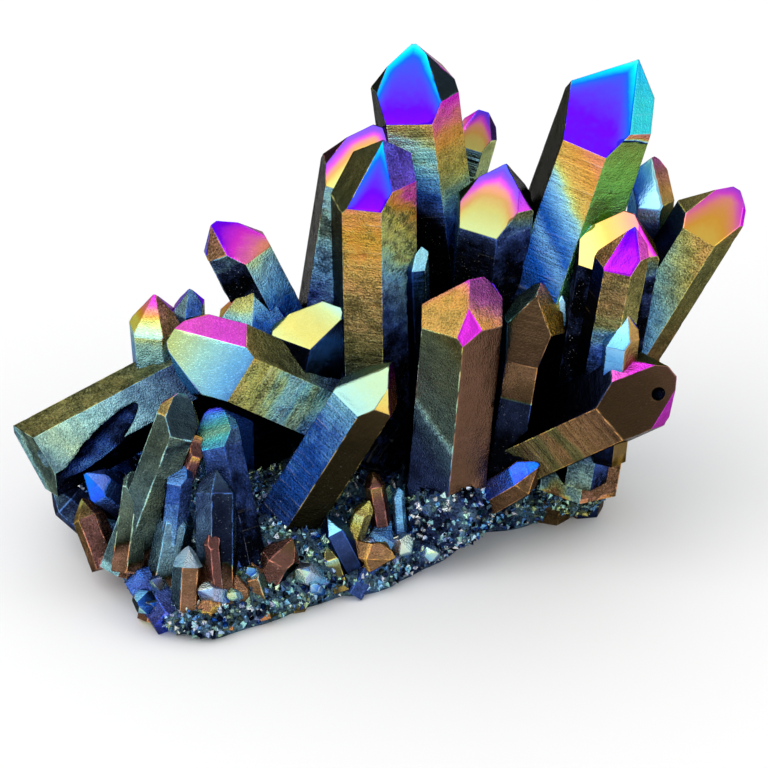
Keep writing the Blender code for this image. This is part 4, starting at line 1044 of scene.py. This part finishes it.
rock = {
    "middle": (-4, 4), "heart": 4,  # the grain stands out from this point, at this height
    "crown": 12, "rounding": 0.9, "depth": 12,
    "lump": 1.1, "lumpSize": 7, "lumpShifts": (0, 40, 80),
    "grain": 0.3, "grainParts": ((0, 1.7, 0.6), (40, 0.8, 0.4)),  # shift, size and share
    "inset": 0.45,  # how far the surface is drawn in before the druse covers it
    "filmSpread": 0.06, "shade": 0.2, "coarse": 0.9, "sawWidth": 1e-8,
    "level": 6, "knobLevel": 5,
}
# outline of the foot from above, and how high its rim stands
rockRim = (
    (-28, -29.6, 3), (-21.5, -30.8, 3), (-14, -26.5, 3), (-5, -20.5, 3), (7, -14, 3),
    (15, -5, 3.5), (24, -2, 5), (30.5, 1, 7.5), (32.5, 6, 8), (32, 14, 6),
    (25, 23, 5), (9, 27.5, 4), (-11, 27.5, 4), (-29, 22, 4), (-39, 13, 4),
    (-41.5, 4, 4.5), (-40, -4, 5), (-37, -12, 5), (-34, -19, 4), (-31.5, -24, 3.5),
)
# knobs of rock between the crystals: middle and half sizes
rockKnobs = (
    ((11.5, -2.5, 9), (7, 6, 10.5)), ((23, 4, 7.5), (9, 6, 7)), ((2, 14, 8), (13, 8, 6)),
    ((-35, 5, 6), (3.5, 3.5, 3.5)), ((-37.5, 11, 4.5), (2.5, 2.5, 2)), ((5, 27.3, 3.9), (3, 2.4, 2)),
    ((9.5, -9.5, 8), (6.5, 6.5, 6)), ((27, -2.5, 9.5), (5.5, 6, 7)),
)
# how the coat changes along the foot from left to right: x, film and tone, and how it strays
footCoat = (
    (-46, 0.97, 0.7), (-33, 0.97, 0.7), (-29, 0.94, 0.9), (-26, 0.9, 1.1), (-22, 0.88, 1.0),
    (-16, 0.86, 0.9), (-10, 0.87, 0.9), (-4, 0.89, 0.9), (4, 0.92, 1.0), (14, 0.93, 0.9),
    (19, 0.9, 0.8), (22, 0.86, 0.6), (26, 0.8, 0.5), (34, 0.74, 0.5),
)
footStray = {"filmSize": 2.6, "tone": 0.35, "toneSize": 3.4, "toneShift": 70}


def rimAt(angle):
    rows = []
    for x, y, height in rockRim:
        dx, dy = x - rock["middle"][0], y - rock["middle"][1]
        rows.append((math.atan2(dy, dx), math.hypot(dx, dy), height))
    rows.sort()
    rows = [(rows[-1][0] - math.tau, *rows[-1][1:])] + rows + [(rows[0][0] + math.tau, *rows[0][1:])]
    rows = np.array(rows)
    return np.interp(angle, rows[:, 0], rows[:, 1]), np.interp(angle, rows[:, 0], rows[:, 2])


def rockPoint(angle, reach):
    length, rim = rimAt(angle)
    height = rim + (rock["crown"] - rim) * (1 - reach * reach) ** rock["rounding"]
    return np.stack((rock["middle"][0] + np.cos(angle) * length * reach,
                     rock["middle"][1] + np.sin(angle) * length * reach, height), -1)


def lumpAt(points):
    rows = []
    for point in points:
        spot = Vector(point) / rock["lumpSize"]
        rows.append([noise.noise(spot + Vector((shift, shift, 0))) for shift in rock["lumpShifts"]])
    return np.array(rows) * rock["lump"]


def footPaint(points, spread):
    table = np.array(footCoat)
    film = np.interp(points[:, 0], table[:, 0], table[:, 1])
    tone = np.interp(points[:, 0], table[:, 0], table[:, 2])
    stray = smoothNoise(points + footStray["toneShift"], footStray["toneSize"])
    return film + spread * smoothNoise(points, footStray["filmSize"]), tone * (1 + footStray["tone"] * stray)


def grained(points, middle):
    way = points - np.array(middle)
    way = way / (np.linalg.norm(way, axis=1)[:, None] + nearlyNothing)
    grain = sum(smoothNoise(points + shift, size) * share for shift, size, share in rock["grainParts"])
    return points + way * (grain * rock["grain"] - rock["inset"])[:, None]


def paintedRock(points, triangles):
    film, tone = footPaint(points, rock["filmSpread"])
    return paintedShell(points, triangles, film, tone * rock["shade"], rock["coarse"], points[:, :2])


def rockShells():
    points, triangles = ballShell(rock["level"])
    angle = np.arctan2(points[:, 1], points[:, 0])
    reach = np.minimum(1, np.hypot(points[:, 0], points[:, 1]))
    spots = rockPoint(angle, reach)
    below = points[:, 2] < 0
    spots[below, 2] = rimAt(angle)[1][below] + points[below, 2] * rock["depth"]
    spots = grained(spots + lumpAt(spots), (*rock["middle"], rock["heart"]))
    yield paintedRock(spots, triangles)
    for middle, half in rockKnobs:
        points, triangles = ballShell(rock["knobLevel"])
        yield paintedRock(grained(points * np.array(half) + np.array(middle), middle), triangles)


def sawnFlat(ob):
    # cuts the mesh off at the ground and closes it there
    bm = bmesh.new()
    bm.from_mesh(ob.data)
    everything = bm.verts[:] + bm.edges[:] + bm.faces[:]
    cut = bmesh.ops.bisect_plane(bm, geom=everything, dist=rock["sawWidth"], plane_co=(0, 0, 0),
                                 plane_no=(0, 0, -1), clear_outer=True)
    rim = [e for e in cut["geom_cut"] if isinstance(e, bmesh.types.BMEdge)]
    bmesh.ops.contextual_create(bm, geom=rim)
    bmesh.ops.triangulate(bm, faces=[f for f in bm.faces if len(f.verts) > 4])
    bm.to_mesh(ob.data)
    bm.free()


# the crowd of small crystals on the rock, in mm and degrees
tinyPoint = {
    "seed": 8, "count": 108,
    "reach": (0.60, 1.0), "across": (1.3, 3.3), "length": (1.5, 2.6), "turn": (0, 60),
    "sink": 0.45, "spread": 0.55, "head": 0.35, "clearOfGround": 1.2, "rise": 1.15, "flatten": 0.5,
    "footSpread": 0.1, "film": (-0.14, 0.06), "tone": (0.9, 1.5),  # against the rock beside it
    "capFilm": (-0.25, 0.08), "capTone": (0.8, 1.5), "capFade": 0.08,
    "fadeAt": 0.4, "fade": 0.04, "fadeTone": 0.5,  # down its length, the coat comes to the rock's and darkens
    "facetSeed": 1,
}


def smallPoints():
    chance = random.Random(tinyPoint["seed"])
    for number in range(tinyPoint["count"]):
        angle = chance.uniform(-math.pi, math.pi)
        reach = chance.uniform(*tinyPoint["reach"])
        across = chance.uniform(*tinyPoint["across"])
        length = across * chance.uniform(*tinyPoint["length"])
        outward = np.array((math.cos(angle), math.sin(angle), 0))
        jitter = np.array((chance.uniform(-1, 1), chance.uniform(-1, 1), chance.uniform(-1, 1)))
        upward = np.array((0, 0, tinyPoint["rise"] - tinyPoint["flatten"] * reach))
        way = unit(outward * reach + upward + jitter * tinyPoint["spread"])
        foot = rockPoint(angle, reach)
        foot[2] = max(foot[2], tinyPoint["clearOfGround"])
        tip = foot + way * length * (1 - tinyPoint["sink"])
        root = foot - way * length * tinyPoint["sink"]
        heads = [chance.uniform(0, tinyPoint["head"]) * across for _ in range(quartz["sides"])]
        turn = chance.uniform(*tinyPoint["turn"])
        films, tones = footPaint(tip[None, :], tinyPoint["footSpread"])
        film, tone = float(films[0]), float(tones[0])
        mixed = np.random.RandomState(number)
        top = mixed.uniform(*tinyPoint["film"])
        coats = {"every": coat((0, film + top, tone * mixed.uniform(*tinyPoint["tone"])),
                               (length * tinyPoint["fadeAt"], film, tone),
                               (length, film + tinyPoint["fade"], tone * tinyPoint["fadeTone"]),
                               coarse=0.4, bands=0.3)}
        for i in range(quartz["sides"]):
            lift = mixed.uniform(*tinyPoint["capFilm"])
            coats["cap%d" % i] = coat((0, film + lift, tone * mixed.uniform(*tinyPoint["capTone"])),
                                      (across, film + lift + tinyPoint["capFade"], tone), coarse=0.2, bands=0)
        yield dict(tip=tip, root=root, across=across, turn=turn, heads=heads, buried=0), coats


def srgb(*color):
    return tuple(c / 12.92 if c <= 0.04045 else ((c + 0.055) / 1.055) ** 2.4 for c in color) + (1,)


# the colour of the film at each thickness
filmColors = (
    (-0.12, (0.62, 0.86, 0.6)), (-0.06, (0.25, 0.85, 0.85)),  # green and teal, thinnest of all
    (0.00, (0.0, 0.72, 1.0)), (0.10, (0.05, 0.3, 1.0)),  # azure, blue
    (0.22, (0.3, 0.02, 1.0)), (0.32, (0.52, 0.02, 0.95)),  # violet
    (0.42, (0.9, 0.2, 0.85)), (0.50, (0.95, 0.55, 0.5)),  # pink, rose
    (0.58, (0.9, 0.65, 0.25)), (0.66, (0.88, 0.85, 0.4)),  # gold
    (0.74, (0.82, 0.92, 0.6)), (0.82, (0.65, 0.9, 0.88)),  # pale green
    (0.88, (0.45, 0.75, 0.95)), (0.94, (0.08, 0.35, 0.75)),  # sky, deep blue
    (1.00, (0.01, 0.03, 0.12)), (1.06, (0.02, 0.17, 0.22)),  # navy
    (1.10, (0.12, 0.34, 0.26)), (1.14, (0.5, 0.6, 0.28)),  # dark green, olive
    (1.18, (0.5, 0.8, 0.38)), (1.25, (0.52, 0.88, 0.62)),  # green
)
thinnest, thickest = filmColors[0][0], filmColors[-1][0]
coatLook = {
    "mottleSize": 0.9, "mottleNoise": (3, 0.6),  # mm, then detail and roughness of the noise
    "coarseSize": 2.6, "coarseNoise": (4, 0.65),
    "grainScale": 4200, "grainNoise": (2, 0.6),
    "streakScale": (9, 150, 1), "streakNoise": (3, 0.6),
    "mottle": 0.03, "coarseMottle": 0.14, "streak": 0.06,  # how far each shifts the film
    "shadeSpeck": 0.75, "shadeSpeckEdge": 5,  # painted shade in dark specks and painted highlights in bright patches, where a face is rough
    "patch": 1.2, "patchEdge": 5, "lift": 0.35,
    # shine paints highlights on the growth streaks, and sparkle paints white glints where a face is rough
    "streakTone": 2.2, "shine": 0.6, "shineFrom": 0.6, "shineEdge": 6,
    "sparkle": 0.5, "sparkleFrom": 0.68, "sparkleEdge": 14, "white": (0.9, 0.92, 0.93, 1),
    "dull": 0.75,  # saturation that is left where a face is darkest
    "rough": 0.12, "coarseRough": 0.56, "metallic": 0.95, "glance": 0.25,
    "bump": 0.8, "bumpDistance": 0.0007,
}


def addNode(tree, kind, **settings):
    node = tree.nodes.new(kind)
    for name, value in settings.items():
        setattr(node, name, value)
    return node


def feed(tree, socket, value):
    # a socket takes a plain value or a link
    if isinstance(value, (int, float)):
        socket.default_value = value
    else:
        tree.links.new(value, socket)


def mathNode(tree, operation, *values, clamp=False):
    node = addNode(tree, "ShaderNodeMath", operation=operation, use_clamp=clamp)
    for socket, value in zip(node.inputs, values):
        feed(tree, socket, value)
    return node.outputs[0]


def noiseNode(tree, vector, scale, detail, roughness):
    node = addNode(tree, "ShaderNodeTexNoise")
    node.inputs["Scale"].default_value = scale
    node.inputs["Detail"].default_value = detail
    node.inputs["Roughness"].default_value = roughness
    tree.links.new(vector, node.inputs["Vector"])
    return node.outputs["Fac"]


coatInputs = {"Film": "film", "Tone": "tone", "Coarse": "coarse", "Bands": "bands"}


def filmGroup():
    tree = bpy.data.node_groups.new("filmLook", "ShaderNodeTree")
    for name in coatInputs:
        tree.interface.new_socket(name, in_out="INPUT", socket_type="NodeSocketFloat")
    for name in ("Place", "Facet"):
        tree.interface.new_socket(name, in_out="INPUT", socket_type="NodeSocketVector")
    for name, kind in (("Color", "Color"), ("Roughness", "Float"), ("Height", "Float")):
        tree.interface.new_socket(name, in_out="OUTPUT", socket_type="NodeSocket" + kind)
    source = addNode(tree, "NodeGroupInput")
    result = addNode(tree, "NodeGroupOutput")

    def plus(first, second, clamp=False):
        return mathNode(tree, "ADD", first, second, clamp=clamp)

    def minus(first, second, clamp=False):
        return mathNode(tree, "SUBTRACT", first, second, clamp=clamp)

    def times(first, second, clamp=False):
        return mathNode(tree, "MULTIPLY", first, second, clamp=clamp)

    place = source.outputs["Place"]
    film, tone, coarse, bands = (source.outputs[name] for name in coatInputs)
    fine = noiseNode(tree, place, 1 / mm / coatLook["mottleSize"], *coatLook["mottleNoise"])
    wide = noiseNode(tree, place, 1 / mm / coatLook["coarseSize"], *coatLook["coarseNoise"])
    grain = noiseNode(tree, place, coatLook["grainScale"], *coatLook["grainNoise"])
    stretch = addNode(tree, "ShaderNodeMapping")
    stretch.inputs["Scale"].default_value = coatLook["streakScale"]
    tree.links.new(source.outputs["Facet"], stretch.inputs["Vector"])
    streaks = noiseNode(tree, stretch.outputs["Vector"], 1, *coatLook["streakNoise"])

    # the film's thickness, strayed by the noises, and its colour
    fineShift = times(minus(fine, 0.5), coatLook["mottle"])
    wideShift = times(times(minus(wide, 0.5), coarse), coatLook["coarseMottle"])
    streakShift = times(times(minus(streaks, 0.5), bands), coatLook["streak"])
    thickness = plus(plus(plus(film, fineShift), wideShift), streakShift)
    share = mathNode(tree, "DIVIDE", minus(thickness, thinnest), thickest - thinnest, clamp=True)
    ramp = addNode(tree, "ShaderNodeValToRGB")
    while len(ramp.color_ramp.elements) < len(filmColors):
        ramp.color_ramp.elements.new(0.5)
    for element, (at, color) in zip(ramp.color_ramp.elements, filmColors):
        element.position = (at - thinnest) / (thickest - thinnest)
        element.color = srgb(*color)
    tree.links.new(share, ramp.inputs["Fac"])

    # what darkens it: painted shade from a tone below 1 and from dark specks where a face is rough, painted
    # highlights in bright patches there, and the growth streaks
    shadeSpecks = times(times(minus(wide, grain), coatLook["shadeSpeckEdge"], clamp=True), coarse, clamp=True)
    darker = minus(1, times(shadeSpecks, coatLook["shadeSpeck"]))
    patches = times(minus(grain, wide), coatLook["patchEdge"], clamp=True)
    lighter = mathNode(tree, "MULTIPLY_ADD", times(patches, coarse), coatLook["patch"], 1)
    lighter = times(lighter, mathNode(tree, "MULTIPLY_ADD", coarse, coatLook["lift"], 1))
    streakTone = plus(times(times(minus(streaks, 0.5), bands), coatLook["streakTone"]), 1)
    depth = mathNode(tree, "MINIMUM", tone, 1)
    low = times(depth, times(times(darker, lighter), streakTone), clamp=True)
    gray = addNode(tree, "ShaderNodeCombineColor")
    for name in ("Red", "Green", "Blue"):
        tree.links.new(low, gray.inputs[name])
    shaded = addNode(tree, "ShaderNodeMix", data_type="RGBA", blend_type="MULTIPLY")
    shaded.inputs["Factor"].default_value = 1
    tree.links.new(ramp.outputs["Color"], shaded.inputs["A"])
    tree.links.new(gray.outputs["Color"], shaded.inputs["B"])

    # what whitens it: painted highlights, from a tone above 1, from white glints where a face is rough and
    # from bright growth streaks
    sparkle = times(minus(grain, coatLook["sparkleFrom"]), coatLook["sparkleEdge"], clamp=True)
    sparkle = times(times(sparkle, coarse), coatLook["sparkle"])
    shine = times(minus(streaks, coatLook["shineFrom"]), coatLook["shineEdge"], clamp=True)
    shine = times(times(times(shine, bands), coatLook["shine"]), depth)
    high = plus(plus(minus(tone, 1, clamp=True), sparkle, clamp=True), shine, clamp=True)
    whitened = addNode(tree, "ShaderNodeMix", data_type="RGBA")
    whitened.inputs["B"].default_value = coatLook["white"]
    tree.links.new(high, whitened.inputs["Factor"])
    tree.links.new(shaded.outputs["Result"], whitened.inputs["A"])

    # the darker the painted shade on a face, the duller its colour
    dulled = plus(times(depth, 1 - coatLook["dull"]), coatLook["dull"])
    dull = addNode(tree, "ShaderNodeHueSaturation")
    tree.links.new(dulled, dull.inputs["Saturation"])
    tree.links.new(whitened.outputs["Result"], dull.inputs["Color"])
    tree.links.new(dull.outputs["Color"], result.inputs["Color"])

    roughness = plus(times(times(grain, coarse), coatLook["coarseRough"]), coatLook["rough"])
    tree.links.new(roughness, result.inputs["Roughness"])
    height = plus(times(streaks, bands), times(plus(grain, wide), coarse))
    tree.links.new(height, result.inputs["Height"])
    return tree


def coatMaterial(name, group):
    material = bpy.data.materials.new(name)
    material.use_nodes = True
    tree = material.node_tree
    surface = tree.nodes["Principled BSDF"]
    look = addNode(tree, "ShaderNodeGroup", node_tree=group)
    for socketName, valueName in coatInputs.items():
        value = addNode(tree, "ShaderNodeAttribute", attribute_name=valueName)
        tree.links.new(value.outputs["Fac"], look.inputs[socketName])
    place = addNode(tree, "ShaderNodeTexCoord")
    tree.links.new(place.outputs["Object"], look.inputs["Place"])
    flat = addNode(tree, "ShaderNodeUVMap", uv_map="facet")
    tree.links.new(flat.outputs["UV"], look.inputs["Facet"])
    tree.links.new(look.outputs["Color"], surface.inputs["Base Color"])
    tree.links.new(look.outputs["Roughness"], surface.inputs["Roughness"])
    surface.inputs["Metallic"].default_value = coatLook["metallic"]
    surface.inputs["Specular Tint"].default_value = (*[coatLook["glance"]] * 3, 1)
    bump = addNode(tree, "ShaderNodeBump")
    bump.inputs["Strength"].default_value = coatLook["bump"]
    bump.inputs["Distance"].default_value = coatLook["bumpDistance"]
    tree.links.new(look.outputs["Height"], bump.inputs["Height"])
    tree.links.new(bump.outputs["Normal"], surface.inputs["Normal"])
    return material


coated = coatMaterial("auraCoat", filmGroup())

groups = {
    "tallCrystals": ("tallMiddle", "tallRight", "tallLeft", "tallLeftBehind", "behindMiddle", "paleMiddle"),
    "rightCrystals": ("rightInner", "rightFront", "farRight", "rightBehind", "rightStub", "bluePin"),
    "frontCrystals": ("frontMiddle", "frontBrown", "leaningRight", "leaningFront", "middleStub"),
    "leftCrystals": ("leftPink", "leftBlue", "leftYellow", "lyingLeft", "pinkTipLeft", "blueTipLeft",
                     "brokenLeft"),
    "splinters": ("splinterA", "splinterB", "splinterC", "splinterD", "splinterE", "splinterF", "whiteTooth",
                  "greyTooth", "blueTooth", "blueChip", "underBroken", "blueShard", "thinMauve", "goldFoot",
                  "brownShardA", "brownShardB", "mauveSlab", "stripedCube", "goldLedge", "blueWedge",
                  "cyanChip", "flatBrown", "paleBlock", "mauveNeedle", "oliveBlock", "blueUnderLeaning",
                  "rightFoot", "greyFoot"),
}
# points in a row across each face
columns = {"tallCrystals": 13, "rightCrystals": 12, "frontCrystals": 13, "leftCrystals": 13, "splinters": 9,
           "backCrystals": 9, "smallPoints": 6}
pieces = []


def addPiece(name, shells):
    ob = meshFrom(name, joinShells(shells))
    ob.data.materials.append(coated)
    pieces.append(ob)
    return ob


for groupName, members in groups.items():
    shells = []
    for member in members:
        entry = dict(crystals[member])
        shell = facetedCrystal(entry.pop("shape"), entry, columns[groupName], random.Random(member))
        if member in dents:
            shell = dentedShell(member, shell)
        shells.append(shell)
    addPiece(groupName, shells)
    print(groupName, "grown")

# end faces of the crystals behind: how far the film strays at the top, and how it runs down
backCoat = {"stray": 0.1, "stops": ((4, 0.12), (8, 0.2)), "rim": -0.12, "coarse": 0.15}
shells = []
for name, entry in backCrystals.items():
    shape = dict(entry)
    start = shape.pop("film")
    chance = random.Random(name)
    coats = {}
    for i in range(quartz["sides"]):
        stray = chance.uniform(-backCoat["stray"], backCoat["stray"])
        lower = [(depth, start + more) for depth, more in backCoat["stops"]]
        coats["cap%d" % i] = coat((0, start + stray), *lower, rim=backCoat["rim"],
                                  coarse=backCoat["coarse"], bands=0)
    shells.append(facetedCrystal(shape, coats, columns["backCrystals"], chance))
addPiece("backCrystals", shells)
print("backCrystals grown")

shells = []
for shape, coats in smallPoints():
    shells.append(facetedCrystal(shape, coats, columns["smallPoints"],
                                 random.Random(tinyPoint["facetSeed"])))
addPiece("smallPoints", shells)
print("smallPoints grown")

rockPiece = addPiece("rock", list(rockShells()))
sawnFlat(rockPiece)
print("rock shaped")

druse = {
    "density": 2.65,  # grains to a square millimetre
    "seed": 5,
    "least": 0.25, "most": 1.05,  # width of a grain, mm
    "tilt": 42,  # degrees from the rock's own normal
    "filmSpread": 0.12,
    "toneLeast": 0.06, "toneMost": 1.9, "toneFall": 1.9,  # most grains are dark, a few nearly white
    "coarse": 0.25, "bands": 0.0,
    "clearOfGround": 0.8, "clearOfBox": 0.001,  # mm
}
# one tiny quartz point, a millimetre wide, on a flat foot
grainShape = {"radius": 0.5, "foot": -0.12, "top": 0.66}


def grainObject():
    sides = quartz["sides"]
    bm = bmesh.new()
    ring = []
    for k in range(sides):
        angle = math.tau * k / sides
        x, y = grainShape["radius"] * math.cos(angle), grainShape["radius"] * math.sin(angle)
        ring.append(bm.verts.new((x, y, grainShape["foot"])))
    top = bm.verts.new((0, 0, grainShape["top"]))
    for k in range(sides):
        bm.faces.new((ring[k], ring[(k + 1) % sides], top))
    for k in range(1, sides - 1):
        bm.faces.new((ring[0], ring[k + 1], ring[k]))
    for vert in bm.verts:
        vert.co *= mm
    mesh = bpy.data.meshes.new("grain")
    bm.to_mesh(mesh)
    bm.free()
    ob = bpy.data.objects.new("grain", mesh)
    bpy.context.scene.collection.objects.link(ob)
    return ob


def druseTree():
    tree = bpy.data.node_groups.new("druseGrowth", "GeometryNodeTree")
    tree.interface.new_socket("Geometry", in_out="OUTPUT", socket_type="NodeSocketGeometry")
    sockets = {}
    for name, kind in (("Geometry", "Geometry"), ("Grain", "Object"), ("Density", "Float"), ("Seed", "Int"),
                       ("Least", "Float"), ("Most", "Float"), ("Tilt", "Float"), ("Film Spread", "Float"),
                       ("Tone Least", "Float"), ("Tone Most", "Float"), ("Tone Fall", "Float"),
                       ("Coarse", "Float"), ("Bands", "Float"), ("Clear", "Float"), ("Material", "Material")):
        sockets[name] = tree.interface.new_socket(name, in_out="INPUT", socket_type="NodeSocket" + kind)
    source = addNode(tree, "NodeGroupInput").outputs
    result = addNode(tree, "NodeGroupOutput")
    link = tree.links.new

    def randomValue(low, high, shift):
        node = addNode(tree, "FunctionNodeRandomValue", data_type="FLOAT")
        feed(tree, node.inputs[2], low)
        feed(tree, node.inputs[3], high)
        link(mathNode(tree, "ADD", source["Seed"], shift), node.inputs["Seed"])
        return node.outputs[1]

    def stored(geometry, name, value):
        node = addNode(tree, "GeometryNodeStoreNamedAttribute", data_type="FLOAT", domain="INSTANCE")
        node.inputs["Name"].default_value = name
        link(geometry, node.inputs["Geometry"])
        feed(tree, node.inputs["Value"], value)
        return node.outputs["Geometry"]

    def read(name):
        node = addNode(tree, "GeometryNodeInputNamedAttribute", data_type="FLOAT")
        node.inputs["Name"].default_value = name
        return node.outputs["Attribute"]

    # grains stand on the rock wherever it is clear of the ground
    place = addNode(tree, "GeometryNodeInputPosition")
    parts = addNode(tree, "ShaderNodeSeparateXYZ")
    link(place.outputs["Position"], parts.inputs["Vector"])
    high = addNode(tree, "FunctionNodeCompare", data_type="FLOAT", operation="GREATER_THAN")
    link(parts.outputs["Z"], high.inputs["A"])
    link(source["Clear"], high.inputs["B"])
    scatter = addNode(tree, "GeometryNodeDistributePointsOnFaces")
    link(source["Geometry"], scatter.inputs["Mesh"])
    link(high.outputs["Result"], scatter.inputs["Selection"])
    link(source["Density"], scatter.inputs["Density"])
    link(source["Seed"], scatter.inputs["Seed"])

    # each is tilted and turned by chance
    back = mathNode(tree, "MULTIPLY", source["Tilt"], -1)
    spin = addNode(tree, "ShaderNodeCombineXYZ")
    link(randomValue(back, source["Tilt"], 1), spin.inputs["X"])
    link(randomValue(back, source["Tilt"], 2), spin.inputs["Y"])
    link(randomValue(0, math.tau, 3), spin.inputs["Z"])
    toRotation = addNode(tree, "FunctionNodeEulerToRotation")
    link(spin.outputs["Vector"], toRotation.inputs["Euler"])
    turned = addNode(tree, "FunctionNodeRotateRotation", rotation_space="LOCAL")
    link(scatter.outputs["Rotation"], turned.inputs["Rotation"])
    link(toRotation.outputs["Rotation"], turned.inputs["Rotate By"])
    grain = addNode(tree, "GeometryNodeObjectInfo")
    link(source["Grain"], grain.inputs["Object"])
    plant = addNode(tree, "GeometryNodeInstanceOnPoints")
    link(scatter.outputs["Points"], plant.inputs["Points"])
    link(grain.outputs["Geometry"], plant.inputs["Instance"])
    link(turned.outputs["Rotation"], plant.inputs["Rotation"])
    link(randomValue(source["Least"], source["Most"], 4), plant.inputs["Scale"])

    # its coat strays from the rock's below it
    spread = source["Film Spread"]
    film = mathNode(tree, "ADD", read("film"), randomValue(mathNode(tree, "MULTIPLY", spread, -1), spread, 5))
    tone = mathNode(tree, "POWER", randomValue(0, 1, 6), source["Tone Fall"])
    tone = mathNode(tree, "MULTIPLY_ADD", tone, source["Tone Most"], source["Tone Least"])
    tone = mathNode(tree, "MULTIPLY", read("tone"), tone)
    painted = stored(plant.outputs["Instances"], "film", film)
    painted = stored(painted, "tone", tone)
    painted = stored(painted, "coarse", source["Coarse"])
    painted = stored(painted, "bands", source["Bands"])
    real = addNode(tree, "GeometryNodeRealizeInstances")
    link(painted, real.inputs["Geometry"])
    dressed = addNode(tree, "GeometryNodeSetMaterial")
    link(real.outputs["Geometry"], dressed.inputs["Geometry"])
    link(source["Material"], dressed.inputs["Material"])
    link(dressed.outputs["Geometry"], result.inputs["Geometry"])
    return tree, {name: socket.identifier for name, socket in sockets.items()}


def pressedInto(mesh, box, gap):
    # grains that would stick out of the part's own size are pressed back to it
    spots = np.empty(len(mesh.vertices) * 3)
    mesh.vertices.foreach_get("co", spots)
    spots = np.clip(spots.reshape(-1, 3), np.array(box[0]) + gap, np.array(box[1]) - gap)
    mesh.vertices.foreach_set("co", spots.ravel())
    mesh.update()


grain = grainObject()
growthTree, socketNames = druseTree()
drusePiece = bpy.data.objects.new("druse", rockPiece.data.copy())
bpy.context.scene.collection.objects.link(drusePiece)
growth = drusePiece.modifiers.new("growth", "NODES")
growth.node_group = growthTree
for name, value in (("Grain", grain), ("Density", druse["density"] / mm / mm), ("Seed", druse["seed"]),
                    ("Least", druse["least"]), ("Most", druse["most"]), ("Tilt", math.radians(druse["tilt"])),
                    ("Film Spread", druse["filmSpread"]), ("Tone Least", druse["toneLeast"] / rock["shade"]),
                    ("Tone Most", druse["toneMost"] / rock["shade"]), ("Tone Fall", druse["toneFall"]),
                    ("Coarse", druse["coarse"]), ("Bands", druse["bands"]),
                    ("Clear", druse["clearOfGround"] * mm), ("Material", coated)):
    growth[socketNames[name]] = value
bpy.context.view_layer.update()
grown = bpy.data.meshes.new_from_object(drusePiece.evaluated_get(bpy.context.evaluated_depsgraph_get()))
drusePiece.modifiers.clear()
drusePiece.data = grown
pressedInto(grown, cadBox, druse["clearOfBox"] * mm)
bpy.data.objects.remove(grain, do_unlink=True)
pieces.append(drusePiece)
print("druse grown")

for ob in pieces:
    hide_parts(clusterNode)
    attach(ob, bodyName)

# everything around the cluster, in metres, watts and degrees
studio = {
    "target": (0.001, 0, 0.0215), "elevation": 30, "distance": 0.42, "lens": 145, "sensor": 36,
    "world": 0.76, "floor": 0.9, "floorRough": 0.9, "floorReach": 3.0,
    "key": dict(spot=(-0.45, -0.35, 0.8), size=1.1, power=4.2),
    "fill": dict(spot=(0.9, -0.5, 0.5), size=1.0, power=2.0),
    "back": dict(spot=(0.1, 0.8, 0.8), size=1.0, power=1.6),
}


def areaLight(name, spot, size, power):
    data = bpy.data.lights.new(name, "AREA")
    data.shape = "DISK"
    data.size = size
    data.energy = power
    ob = bpy.data.objects.new(name, data)
    ob.location = spot
    ob.rotation_euler = (Vector(studio["target"]) - Vector(spot)).to_track_quat("-Z", "Y").to_euler()
    bpy.context.scene.collection.objects.link(ob)


for name in ("key", "fill", "back"):
    areaLight(name, **studio[name])

world = bpy.data.worlds.new("studio")
world.use_nodes = True
world.node_tree.nodes["Background"].inputs["Color"].default_value = (1, 1, 1, 1)
world.node_tree.nodes["Background"].inputs["Strength"].default_value = studio["world"]
bpy.context.scene.world = world
bpy.context.scene.view_settings.view_transform = "Standard"

floorMesh = bpy.data.meshes.new("floor")
reach = studio["floorReach"]
floorMesh.from_pydata([(-reach, -reach, 0), (reach, -reach, 0), (reach, reach, 0), (-reach, reach, 0)], [],
                      [(0, 1, 2, 3)])
floor = bpy.data.objects.new("floor", floorMesh)
bpy.context.scene.collection.objects.link(floor)
floorMaterial = bpy.data.materials.new("floorPaper")
floorMaterial.use_nodes = True
paper = floorMaterial.node_tree.nodes["Principled BSDF"]
paper.inputs["Base Color"].default_value = (studio["floor"],) * 3 + (1,)
paper.inputs["Roughness"].default_value = studio["floorRough"]
floorMesh.materials.append(floorMaterial)

cameraData = bpy.data.cameras.new("camera")
cameraData.lens = studio["lens"]
cameraData.sensor_width = studio["sensor"]
camera = bpy.data.objects.new("camera", cameraData)
tilt = math.radians(studio["elevation"])
camera.location = Vector(studio["target"]) + Vector((0, -math.cos(tilt), math.sin(tilt))) * studio["distance"]
camera.rotation_euler = (math.pi / 2 - tilt, 0, 0)
bpy.context.scene.collection.objects.link(camera)
bpy.context.scene.camera = camera
print("studio set")

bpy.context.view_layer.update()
for ob in pieces:
    print(ob.name, len(ob.data.polygons), "triangles")
print("all together", sum(len(ob.data.polygons) for ob in pieces))
